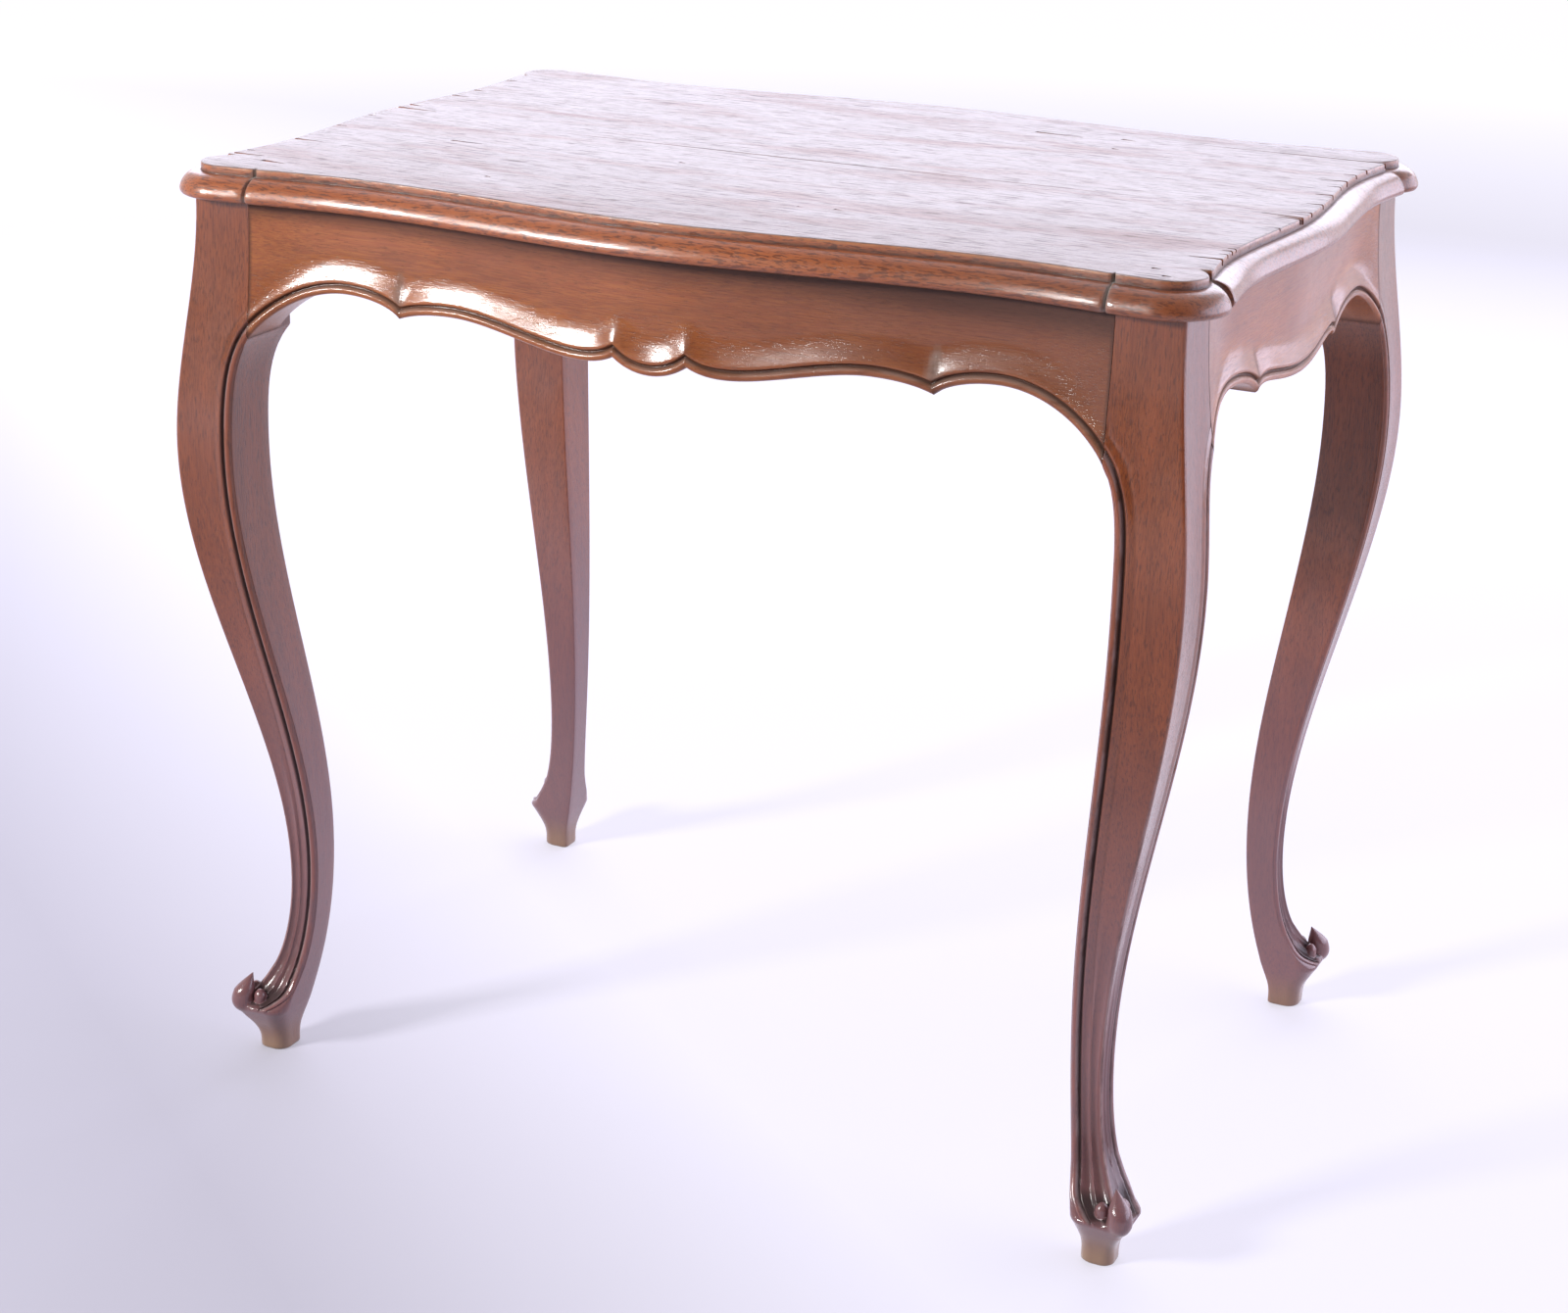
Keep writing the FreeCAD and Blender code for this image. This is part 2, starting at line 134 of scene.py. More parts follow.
def edgeDistance(px, pz, line, reach=45.0):
    # distance from a scalloped edge, positive on the wood above it, the edge drawn on past its two ends
    first, last = line[0] - line[1], line[-1] - line[-2]
    line = np.concatenate([[line[0] + first / np.linalg.norm(first) * reach], line,
                           [line[-1] + last / np.linalg.norm(last) * reach]])
    a, d = line[:-1], np.diff(line, axis=0)
    best = np.full(px.shape, 1e9)
    sign = np.ones(px.shape)
    for (ax, az), (dx, dz) in zip(a, d):
        t = np.clip(((px - ax) * dx + (pz - az) * dz) / (dx * dx + dz * dz + 1e-12), 0, 1)
        ox, oz = px - ax - t * dx, pz - az - t * dz
        far = np.hypot(ox, oz)
        near = far < best - 1e-9
        best = np.where(near, far, best)
        sign = np.where(near, np.where(dx * oz - dz * ox >= 0, 1, -1), sign)
    return best * sign


def pointsOf(obj):
    flat = np.empty(len(obj.data.vertices) * 3)
    obj.data.vertices.foreach_get("co", flat)
    return flat.reshape(-1, 3)


def mark(obj, **marks):
    # per-point marks that the finishes read: wax in the carving and a painted shadow under the top, wear on
    # the edges, pale dirt and a painted highlight line on the leg arris
    for key, values in marks.items():
        layer = obj.data.attributes.new(key, "FLOAT", "POINT")
        layer.data.foreach_set("value", np.clip(values, 0, 1).ravel())


def shapedGrid(name, points, **marks):
    # a grid primitive whose vertices are moved to the carved surface
    rows, columns = points.shape[:2]
    clearSelection()
    bpy.ops.mesh.primitive_grid_add(x_subdivisions=columns - 1, y_subdivisions=rows - 1, size=1)
    obj = bpy.context.object
    obj.name = obj.data.name = name
    obj.data.vertices.foreach_set("co", (points.reshape(-1, 3) * mm).ravel())
    mark(obj, **marks)
    return obj


def closeUp(obj, angle):
    # merge the seam, fill what is open, turn the faces outward
    pick(obj)
    bpy.ops.object.mode_set(mode="EDIT")
    bpy.ops.mesh.select_all(action="SELECT")
    bpy.ops.mesh.remove_doubles(threshold=weld)
    bpy.ops.mesh.select_mode(type="EDGE")
    bpy.ops.mesh.select_all(action="DESELECT")
    bpy.ops.mesh.select_non_manifold(extend=False)
    bpy.ops.mesh.fill_holes(sides=0)
    bpy.ops.mesh.select_all(action="SELECT")
    bpy.ops.mesh.normals_make_consistent(inside=False)
    bpy.ops.object.mode_set(mode="OBJECT")
    bpy.ops.object.shade_smooth_by_angle(angle=math.radians(angle))


def copyOf(obj, name, turn=0.0, move=(0, 0, 0)):
    pick(obj)
    bpy.ops.object.duplicate(linked=False)
    twin = bpy.context.object
    twin.name = twin.data.name = name
    twin.rotation_euler[2] = math.radians(turn)
    twin.location = [v * mm for v in move]
    bpy.ops.object.transform_apply(location=True, rotation=True, scale=True)
    return twin


def settle(obj, node, material):
    obj.data.materials.clear()
    obj.data.materials.append(material)
    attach(obj, "root")
    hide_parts(node)


def combine(obj, others, way="DIFFERENCE"):
    for other in others:
        pick(obj)
        cut = obj.modifiers.new("cut", "BOOLEAN")
        cut.operation = way
        cut.solver = "EXACT"
        cut.object = other
        bpy.ops.object.modifier_apply(modifier=cut.name)
        bpy.data.objects.remove(other)


# mahogany, French polished by hand: a clear gloss over open pores, fine fibres and a broad soft figure,
# with dark wax left in the carving and the colour rubbed paler on the edges
def mahogany(name, s):
    mat, tree = emptyMaterial(name)
    place = addNode(tree, "ShaderNodeTexCoord").outputs["Object"]
    masks = {}
    for key, (along, across, detail, low, high) in s["grains"].items():
        scale = [1 / (across * mm)] * 3
        scale["XYZ".index(s["grain"])] = 1 / (along * mm)
        space = addNode(tree, "ShaderNodeMapping", {"Vector": place, "Scale": scale})
        cells = addNode(tree, "ShaderNodeTexNoise", {
            "Vector": space.outputs[0], "Scale": 1.0, "Detail": detail,
            "Roughness": s["noiseRough"], "Distortion": s["noiseWarp"]})
        band = addNode(tree, "ShaderNodeMapRange", {
            "Value": cells.outputs["Fac"], "From Min": low, "From Max": high},
            interpolation_type="SMOOTHSTEP")
        masks[key] = band.outputs[0]
    for key in ("wax", "wear", "dirt"):
        masks[key] = addNode(tree, "ShaderNodeAttribute", attribute_name=key).outputs["Fac"]
    for key, (axis, start, end) in s["ramps"].items():
        apart = addNode(tree, "ShaderNodeSeparateXYZ", {"Vector": place})
        band = addNode(tree, "ShaderNodeMapRange", {
            "Value": apart.outputs[axis], "From Min": start * mm, "From Max": end * mm},
            interpolation_type="SMOOTHSTEP")
        masks[key] = band.outputs[0]
    # colours laid one over the other, each through one mask or the product of two
    # sockets 6 and 7 of a mix node are its colours, and its output 2 is the mixed colour
    colour = linear(s["ground"])
    for keys, share, shade in s["layers"]:
        mask = masks[keys[0]]
        for key in keys[1:]:
            mask = addNode(tree, "ShaderNodeMath", {0: mask, 1: masks[key]}, operation="MULTIPLY").outputs[0]
        part = addNode(tree, "ShaderNodeMath", {0: mask, 1: share}, operation="MULTIPLY")
        over = addNode(tree, "ShaderNodeMix", {0: part.outputs[0], 6: colour, 7: linear(shade)},
                       data_type="RGBA")
        colour = over.outputs[2]
    # roughness of the wood, weight and roughness of the film, each between its two patchy levels
    gloss, film, haze = (
        addNode(tree, "ShaderNodeMapRange", {
            "Value": masks["shine"], "To Min": s[key][0], "To Max": s[key][1]})
        for key in ("rough", "coat", "coatRough"))
    for key, more in s["rougher"]:
        gloss = addNode(tree, "ShaderNodeMath", {0: masks[key], 1: more, 2: gloss.outputs[0]},
                        operation="MULTIPLY_ADD")
    for key, gone in s["bare"]:
        left = addNode(tree, "ShaderNodeMath", {0: masks[key], 1: -gone, 2: 1.0}, operation="MULTIPLY_ADD")
        film = addNode(tree, "ShaderNodeMath", {0: film.outputs[0], 1: left.outputs[0]}, operation="MULTIPLY")
    # raised fibres and sunk pores, which the film partly fills
    raised = addNode(tree, "ShaderNodeMath", {0: masks["fibre"], 1: s["fibreRise"]}, operation="MULTIPLY")
    sunk = addNode(tree, "ShaderNodeMath", {0: masks["pore"], 1: -s["poreSink"], 2: raised.outputs[0]},
                   operation="MULTIPLY_ADD")
    relief, skin = (
        addNode(tree, "ShaderNodeBump", {
            "Height": sunk.outputs[0], "Strength": strength, "Distance": s["pitDepth"] * mm})
        for strength in (s["relief"], s["relief"] / s["filmFills"]))
    shader = addNode(tree, "ShaderNodeBsdfPrincipled", {
        "Base Color": colour, "Roughness": gloss.outputs[0], "IOR": 1.5, "Specular IOR Level": s["specular"],
        "Normal": relief.outputs["Normal"], "Coat Weight": film.outputs[0], "Coat Roughness": haze.outputs[0],
        "Coat IOR": 1.52, "Coat Normal": skin.outputs["Normal"], "Sheen Weight": s["dust"],
        "Sheen Roughness": 0.35, "Sheen Tint": linear("#f1e8f4")})
    addNode(tree, "ShaderNodeOutputMaterial", {"Surface": shader.outputs["BSDF"]})
    return mat


# grains: length and width in mm, detail, and the noise levels between which they show
# the real pores are 0.2 mm wide, drawn 0.6 mm wide or more so that they show
# ramps: axis, where they start and end; layers: masks, share, colour
everyGrain = {"figure": (260, 16, 4, 0.32, 0.68), "fibre": (38, 1.1, 3, 0.34, 0.66),
              "rub": (30, 8, 3, 0.35, 0.6), "shine": (60, 40, 3, 0.3, 0.7)}
cloud = (130, 60, 3, 0.36, 0.68)
polish = {
    # painted shade: the right ramp darkens the rails towards their right end, where less light falls
    "grain": "X", "ground": "#985129", "ramps": {"right": ("X", -60, 230)},
    "grains": dict(everyGrain, cloud=cloud, pore=(8, 0.7, 2, 0.56, 0.66), thread=(70, 0.9, 3, 0.48, 0.66)),
    "noiseRough": 0.58, "noiseWarp": 0.3,
    # the dark wax colour also paints the shadow band under the top
    "layers": [(("figure",), 0.45, "#6d361c"), (("fibre",), 0.45, "#b06a30"), (("cloud",), 0.4, "#6a3420"),
               (("thread",), 0.4, "#6b3a20"), (("right",), 0.6, "#5c3020"), (("pore",), 0.3, "#3d1e12"),
               (("wear", "rub"), 0.4, "#b0693a"), (("wax",), 0.85, "#261b19"), (("dirt",), 0.5, "#6e6459"),
               (("dirt", "rub"), 0.45, "#a38a80")],
    "rougher": [("wax", 0.25), ("dirt", 0.3)], "bare": [("wax", 0.7), ("dirt", 0.8)],
    "rough": (0.3, 0.44), "coat": (0.62, 0.72), "coatRough": (0.17, 0.08), "specular": 0.18,
    "fibreRise": 0.35, "poreSink": 0.8, "pitDepth": 0.25, "relief": 0.3, "filmFills": 1.8, "dust": 0.0}
sideFinish = dict(polish, grain="Y", ramps={},
                  layers=[one for one in polish["layers"] if one[0] != ("right",)])
# the legs are redder, greyer towards the foot, and worn to bare wood on the peg
legFinish = dict(
    polish, grain="Z", ground="#7e3e1f", coat=(0.85, 0.95),
    ramps={"low": ("Z", 470, 150), "peg": ("Z", 36, 0)},
    grains=dict(everyGrain, cloud=cloud, pore=(9, 0.9, 2, 0.53, 0.64)),
    # the pale dirt colour also paints a highlight line down the arris
    layers=[(("figure",), 0.5, "#5a2b16"), (("fibre",), 0.35, "#9a542a"), (("cloud",), 0.35, "#582a1a"),
            (("pore",), 0.5, "#33180f"), (("low",), 0.58, "#775f6a"), (("wear", "rub"), 0.35, "#94482d"),
            (("peg",), 0.65, "#8c6d54"), (("peg", "cloud"), 0.4, "#a58868"), (("wax",), 0.92, "#231c1b"),
            (("dirt",), 0.45, "#776660"), (("dirt", "rub"), 0.5, "#b7a2a4")])
# the field of the top has lost its polish: dry, faded and greyish brown, it mirrors the white behind it
# only at a low angle
topFinish = dict(
    polish, ground="#a5562a", dust=0.05, specular=0.5,
    # painted shade: the right ramp darkens the moulded edge towards its right end, where less light falls
    ramps={"field": ("Z", 714.2, 714.8), "right": ("X", 40, 330)},
    grains=dict(everyGrain, pore=(5, 0.6, 2, 0.52, 0.64), fleck=(9, 1.5, 2, 0.5, 0.62),
                dash=(24, 1.2, 2, 0.55, 0.65), stain=(190, 42, 5, 0.46, 0.7), shine=(260, 9, 3, -0.3, 1.3)),
    layers=[(("figure",), 0.35, "#6f3317"), (("fibre",), 0.3, "#b56a32"), (("right",), 0.5, "#5c2e1a"),
            (("fleck",), 0.7, "#4a2113"), (("pore",), 0.3, "#451f10"), (("wear", "rub"), 0.5, "#bd8256"),
            (("field",), 1.0, "#7b655e"), (("field", "fibre"), 0.45, "#957f76"),
            (("field", "stain"), 0.5, "#86503f"), (("field", "dash"), 0.8, "#46302b"),
            (("field", "pore"), 0.45, "#4f3831"), (("wax",), 0.85, "#261815"), (("dirt",), 0.55, "#6d655e"),
            (("dirt", "rub"), 0.8, "#b9b2ac")],
    rougher=[("wax", 0.25), ("dirt", 0.35), ("field", 0.06), ("stain", 0.09), ("dash", 0.3)],
    bare=[("wax", 0.7), ("dirt", 0.8), ("field", 0.85)])
topWood = mahogany("mahoganyTopFrenchPolishedAndDry", topFinish)
longWood = mahogany("mahoganyApronFrenchPolishedLong", polish)
shortWood = mahogany("mahoganyApronFrenchPolishedShort", sideFinish)
legWood = mahogany("mahoganyLegFrenchPolished", legFinish)
print("wood finishes ready")


# bead, groove and lip along the lower edge of the aprons and the inner edges of the legs
beadAt = [0, 0.4, 1.1, 2.0, 3.0, 4.0, 4.9, 5.6, 6.1, 6.8, 7.3, 7.8, 8.3, 9.0]
legRelief = [-1.6, -0.5, 0.3, 0.8, 1.0, 0.8, 0.2, -0.7, -1.5, -1.9, -1.7, -0.7, 0.35, 0.75]
# the lip runs down the leg as a narrow band with a fine line beside it
legBandAt = [10.5, 12.5, 14.0, 14.7, 15.6]
legBand = [0.55, 0.2, -0.15, -0.3, 0.0]
lipRelief = [3.4, 4.4, 5.2, 5.7, 5.9, 5.7, 5.1, 4.2, 3.4, 3.0, 3.3, 4.3, 5.3, 5.7]
lipAt = [10.5, 13, 16, 19, 22, 25, 28, 31]
lipFade = [5.3, 4.3, 3.1, 2.05, 1.2, 0.55, 0.15, 0.0]


def legCarving(d):
    return np.interp(d, beadAt + legBandAt, legRelief + legBand)


def lipCarving(d):
    return np.interp(d, beadAt + lipAt, lipRelief + lipFade)


def grooveWax(d):
    return np.interp(d, [5.0, 5.9, 7.4, 8.1, 8.9], [0, 0.9, 0.9, 0.3, 0])


def beadDust(d):
    return np.interp(d, [3.4, 4.6, 5.6, 6.2], [0, 0.6, 0.6, 0])


# S template of the legs, offsets from the post faces
outerLine = curve([[(0, 692), (0, 629.67), (16, 567.33), (16, 505)],
                   [(16, 505), (16, 386.67), (-35, 268.33), (-35, 150)],
                   [(-35, 150), (-35, 103.5), (-27, 72.5), (-16.6, 57)]])[::-1]
innerLine = curve([[(-37.6, 0), (-37.6, 30), (-60.7, 72), (-60.7, 180)],
                   [(-60.7, 180), (-60.7, 288.33), (-33.4, 396.67), (-33.4, 505)],
                   [(-33.4, 505), (-33.4, 544.5), (-35, 574), (-post, legMeets)]])


def outer(z):
    return np.interp(z, outerLine[:, 1], outerLine[:, 0])


def inner(z):
    return np.interp(z, innerLine[:, 1], innerLine[:, 0])


# scalloped edges, half of each apron from its middle to the leg, drawn for the back and turned into place
# dark: how far the painted shadow band under the top comes down at the two ends
longApron = {
    "end": 329.0, "inside": 223.0, "cusps": (28.5, 206.0), "cuspWax": (0.25, 0.5),
    "plan": ((0, 256.5), (90, 252.3), (180, 247.6), (262, 246), (329, 254)),
    "drop": [[(-28.5, 617), (-11.97, 604.47), (11.97, 604.47), (28.5, 617)]],
    "lobe": [[(28.5, 617), (60.06, 600), (117.92, 626.6), (160, 626.6)],
             [(160, 626.6), (180.24, 626.6), (194.5, 624.1), (206, 619.8)]],
    "arch": [[(206, 619.8), (213.32, 627.12), (231.76, 632), (252, 632)],
             [(252, 632), (285.88, 632), (317, 610), (329, legMeets)]],
    "pockets": 165.0, "columns": 231, "crease": 5.0, "scuff": 0.6, "dark": (31.0, 16.0)}
shortApron = {
    "end": 207.0, "inside": 343.0, "cusps": (94.0,), "cuspWax": (0.5,),
    "plan": ((0, 378), (60, 375.4), (120, 372.4), (165, 371.8), (207, 376)),
    "drop": [[(-94, 608), (-80, 618), (-47, 602.5), (0, 602.5)],
             [(0, 602.5), (47, 602.5), (80, 618), (94, 608)]],
    "lobe": None,
    "arch": [[(94, 608), (103, 617), (125.36, 623), (150, 623)],
             [(150, 623), (175.08, 623), (195, 610), (207, legMeets)]],
    "pockets": 70.0, "columns": 151, "crease": 3.0, "scuff": 0.2, "dark": (6.0, 6.0)}
bothAprons = {
    "besideCusp": (-3.5, -2, -1, -0.4, 0, 0.4, 1, 2, 3.5),  # extra columns of points
    "aboveEdge": (0, 0.25, 0.8, 1.5, 2.3, 3, 3.8, 4.6, 5.2, 5.7, 6.1, 6.5, 6.9, 7.3, 7.7, 8.1, 8.6, 9.3,
                  10.5, 12.5, 15, 18, 21, 24, 27, 30, 33),  # rows of points along the carving
    "reachesTop": 40.0,  # a row this far above the edge would lie at the top
    "plainRows": 8, "leanWindow": 7,
    "mitred": (8.3, 13),  # where the sharp mitres of the bead pass into the soft creases of the lip
    "toLeg": 62.0,  # length over which the apron takes up the flare of the leg
    "wearAt": (0, 1.5, 3.5, 5, 8, 9, 14), "wear": (0.2, 0.7, 0.7, 0.1, 0.3, 0.5, 0),
    # wax at the joints: strength, from and to which distance; painted shadow band under the top: strength,
    # where it is solid
    "jointWax": (0.8, 0.9, 0.2), "shadowBand": (0.8, 0.25),
    "creaseWidth": 3.0, "creaseUp": (34, 12),  # wax in the crease over a cusp
    # worn facet over the outer cusp, narrower upwards: width by distance, soft edge, where it starts and ends
    "facetAt": (8, 30), "facetWidth": (9.0, 2.5), "facetSoft": 0.4, "facetFrom": (7, 10), "facetTo": (30, 22),
    "mitre": 0.01, "sharpFrom": 35}
# slanted pockets for the screws that hold the top
pocket = {"tilt": 18.0, "setIn": 9.0, "seat": 14.0, "radius": 5.0, "length": 60.0, "sides": 32}


def legEdge(shift, low=90.0):
    down = innerLine[(innerLine[:, 1] < legMeets - 1) & (innerLine[:, 1] > low)][::-1]
    return down + np.array([shift, 0])


def carvedDistance(s, x, z, crease):
    # distance from the scalloped edge: mitred along the bead, with softer creases in the lip above it
    x = np.abs(x)
    arch = np.concatenate([curve(s["arch"]), legEdge(s["end"] + post)])
    toArch = edgeDistance(x, z, arch)
    nearer = edgeDistance(x, z, curve(s["drop"]))
    if s["lobe"]:
        nearer = -softMin(-nearer, -edgeDistance(x, z, curve(s["lobe"])), crease)
    return np.where(x > s["arch"][0][3][0], toArch, softMin(nearer, toArch, crease))


def carvedApron(name, s):
    b = bothAprons
    reach = s["end"] - daylight
    x = [np.linspace(-reach, reach, s["columns"])]
    for cusp in s["cusps"]:
        x += [cusp + np.array(b["besideCusp"]), -cusp + np.array(b["besideCusp"])]
    x = np.unique(np.round(np.concatenate(x), 3))
    # rows of points along the lower edge, further apart where it is steep, then plain rows up to the top
    half = curve(s["drop"])
    runs = [half[half[:, 0] >= 0]] + ([curve(s["lobe"])] if s["lobe"] else []) + [curve(s["arch"])]
    edge = np.concatenate(runs)
    low = np.interp(np.abs(x), edge[:, 0], edge[:, 1])
    lean = np.sqrt(1 + np.gradient(low, x) ** 2)
    window = b["leanWindow"]
    lean = np.convolve(np.pad(lean, window // 2, mode="edge"), np.ones(window) / window, mode="valid")
    near = np.array(b["aboveEdge"])
    rise = np.minimum(near[:, None] * lean[None, :],
                      (underTop - low)[None, :] * (near / b["reachesTop"])[:, None] ** 0.5)
    share = np.linspace(0, 1, b["plainRows"] + 1)[1:, None]
    z = np.concatenate([low + rise, (low + rise[-1]) * (1 - share) + underTop * share])
    xs = np.broadcast_to(x, z.shape)
    # the carved face
    sharp = np.maximum(carvedDistance(s, xs, z, b["mitre"]), 0)
    soft = np.maximum(carvedDistance(s, xs, z, s["crease"]), 0)
    d = sharp + (soft - sharp) * ease(*b["mitred"], sharp)
    toLeg = ease(s["end"] - b["toLeg"], s["end"], np.abs(xs))
    out = (1 - toLeg) * lipCarving(d) + toLeg * (outer(z) + legCarving(d))
    y = serpentine(s["plan"], np.abs(xs)) + out
    # wax in the groove, at the joints and in the creases, and a painted shadow band under the top
    wear = np.interp(d, b["wearAt"], b["wear"])
    strength, start, end = b["jointWax"]
    wax = np.maximum(grooveWax(d), strength * ease(reach - start, reach - end, np.abs(xs)))
    # painted shadow: a dark band in the wax colour under the overhanging top, deeper towards one end
    strength, solid = b["shadowBand"]
    band = np.interp(xs, [-reach, reach], s["dark"])
    wax = np.maximum(wax, strength * ease(underTop - band, underTop - band * solid, z))
    for cusp, held in zip(s["cusps"], s["cuspWax"]):
        crease = np.exp(-((np.abs(xs) - cusp) / b["creaseWidth"]) ** 2) * ease(*b["creaseUp"], d)
        wax = np.maximum(wax, crease * held)
    wide = np.interp(d, b["facetAt"], b["facetWidth"])
    facet = ease(wide, wide * b["facetSoft"], np.abs(np.abs(xs) - s["cusps"][-1]))
    facet = facet * ease(*b["facetFrom"], d) * ease(*b["facetTo"], d)
    dirt = np.maximum(facet * s["scuff"], beadDust(d))
    obj = shapedGrid(name, np.stack([xs, y, z], axis=2), wax=wax, wear=wear, dirt=dirt)
    # the back of the rail: its outline pushed back to the flat inside face
    pick(obj)
    bpy.ops.object.mode_set(mode="EDIT")
    bpy.ops.mesh.select_mode(type="EDGE")
    bpy.ops.mesh.select_all(action="SELECT")
    bpy.ops.mesh.region_to_loop()
    bpy.ops.mesh.extrude_region_move(TRANSFORM_OT_translate={"value": (0, -0.01, 0)})
    bpy.ops.transform.resize(value=(1, 0, 1), center_override=(0, s["inside"] * mm, 0))
    bpy.ops.mesh.edge_face_add()
    bpy.ops.object.mode_set(mode="OBJECT")
    closeUp(obj, b["sharpFrom"])
    tilt = math.radians(pocket["tilt"])
    slant = Vector((0, math.sin(tilt), math.cos(tilt)))
    for side in (-1, 1):
        mouth = Vector((side * s["pockets"], s["inside"] + pocket["setIn"], underTop))
        middle = mouth - slant * pocket["seat"] - slant * (pocket["length"] / 2)
        clearSelection()
        bpy.ops.mesh.primitive_cylinder_add(vertices=pocket["sides"], radius=pocket["radius"] * mm,
                                            depth=pocket["length"] * mm, location=middle * mm,
                                            rotation=(-tilt, 0, 0))
        combine(obj, [bpy.context.object])
    return obj


backApron = carvedApron("carvedApronBack", longApron)
frontApron = copyOf(backApron, "carvedApronFront", 180)
settle(backApron, "apron_back", longWood)
settle(frontApron, "apron_front", longWood)
sideApron = carvedApron("carvedApronSide", shortApron)
rightApron = copyOf(sideApron, "carvedApronRight", -90)
leftApron = copyOf(sideApron, "carvedApronLeft", 90)
bpy.data.objects.remove(sideApron)
settle(rightApron, "apron_right", shortWood)
settle(leftApron, "apron_left", shortWood)
print("aprons carved")


# cabriole legs, drawn for the back right corner, offsets from the post faces
leg = {
    "arris": 2.4, "innerCorner": 1.2, "sharpFrom": 50,
    # rows of points from the top down to the instep: from, to, count
    "heights": ((underTop, 613, 10), (611, 588, 16), (584, 112, 74), (108.5, 74, 22)),
    "toeStep": 0.8, "pegRows": 34,
    "strip": (10.0, 19, 25),  # width of the bead and groove, points on it and beyond it
    "evenDown": (98, 70),  # the points spread out evenly between these heights
    "join": 585.0,  # above this the carving follows the edge of the apron
    # channel down each face: where it starts beside the bead, its depth at the knee and at the ankle
    # and the heights over which it deepens, parts into flutes and runs out
    "channel": 8.0, "hollow": 0.6, "ankleHollow": 2.2, "deeper": (300, 90), "fluted": (300, 170),
    "runOut": 560,
    "fade": (2.5, -1.5),  # the carving dies out over this length past the rim of the toe
    # wax in the fine line, in the flutes of the ankle and behind the rim, wear across the bead
    "lineAt": (13.6, 14.5, 15.4), "lineWax": (0, 0.35, 0), "fluteWax": 0.35, "fluteWaxDown": (160, 70),
    "rimWax": 0.9, "rimWaxFrom": (6, 9), "rimWaxStart": (-30, -15), "rimWaxEnd": (1, -4),
    "wearAt": (0, 1.5, 3.8, 5.2, 8), "wear": (0.2, 0.9, 0.9, 0.1, 0.1),
    "rubbed": (430, 300),  # painted highlight: a pale line down the arris, low on the leg
    # instep, toe and peg below the shin: reach, height, radius of the arris, roundness of the peg,
    # radius of the beaded edge
    "toe": [(-24.0, 72.0, 2.4, 0.0, 0.6), (-20.8, 65.6, 2.4, 0.0, 0.6), (-17.6, 59.6, 2.5, 0.0, 0.6),
            (-14.0, 54.0, 2.8, 0.0, 0.9), (-9.8, 48.8, 3.0, 0.0, 3.0), (-5.4, 44.8, 3.2, 0.0, 6.5),
            (-1.4, 42.2, 3.4, 0.0, 10.0), (0.8, 40.4, 3.6, 0.0, 12.5), (0.8, 38.6, 3.8, 0.0, 13.0),
            (-0.2, 36.0, 4.2, 0.02, 13.0), (-2.2, 32.0, 4.6, 0.06, 13.0), (-4.2, 27.6, 5.0, 0.14, 12.5),
            (-7.2, 21.0, 5.2, 0.36, 11.5), (-10.4, 12.0, 5.0, 0.78, 11.0), (-12.2, 3.0, 5.0, 1.0, 11.0),
            (-12.4, 1.0, 5.0, 1.0, 11.0), (-13.4, 0.0, 5.0, 1.0, 11.0)],
    "rim": 7,  # the row of the table where the channel ends
    # square peg: half its width, its centre, the chamfer and height of its foot
    "pegHalf": 12.7, "pegCentre": -25.3, "pegChamfer": 1.0, "pegFoot": 1.2,
    # inner corner, rounder corner under the beaded edge, arris: signs of the corner, radius, from and to
    # which angle
    "pegCorners": ((-1, -1, 4.0, 225, 180), (-1, 1, 10.0, 180, 90), (1, 1, 8.0, 90, 45)),
    # knob on the corner, drawn up into a tip, and two buds in the ends of the channels: middle, half sizes,
    # height above the middle, how much the top is drawn in, how far it leans back, wax
    "buds": [((-5.2, -5.2, 45.0), (9.6, 9.6, 12.0), 20.5, 0.8, 6.6, 0.0),
             ((-20.2, -8.6, 46.5), (5.4, 5.2, 7.0), 7.5, 0.2, 0.0, 0.4),
             ((-8.6, -20.2, 46.5), (5.2, 5.4, 7.0), 7.5, 0.2, 0.0, 0.4)],
    # smoothing where they grow out of the toe: passes, how far round a bud, how far up it
    "blend": 8, "blendReach": 1.25, "blendUp": 0.3}


def legRings():
    # height, reach, radius of the arris, roundness of the peg, radius of the beaded edge, length past the rim
    heights = np.concatenate([np.linspace(*span) for span in leg["heights"]])
    rings = [(z, float(outer(z)), leg["arris"], 0.0, leg["toe"][0][4], None) for z in heights]
    toe = np.array(leg["toe"])
    run = np.concatenate([[0], np.cumsum(np.hypot(np.diff(toe[:, 0]), np.diff(toe[:, 1])))])
    rim = run[leg["rim"]]
    fine = np.concatenate([np.arange(0.5, rim, leg["toeStep"]), np.linspace(rim, run[-3], leg["pegRows"]),
                           run[-2:]])
    reach, height, radius, peg, edge = (smoothThrough(run, toe[:, k], fine) for k in range(5))
    for k in range(len(fine)):
        rings.append((max(height[k], 0.0), reach[k], radius[k], min(max(peg[k], 0), 1), max(edge[k], 0.5),
                      fine[k] - rim))
    return rings


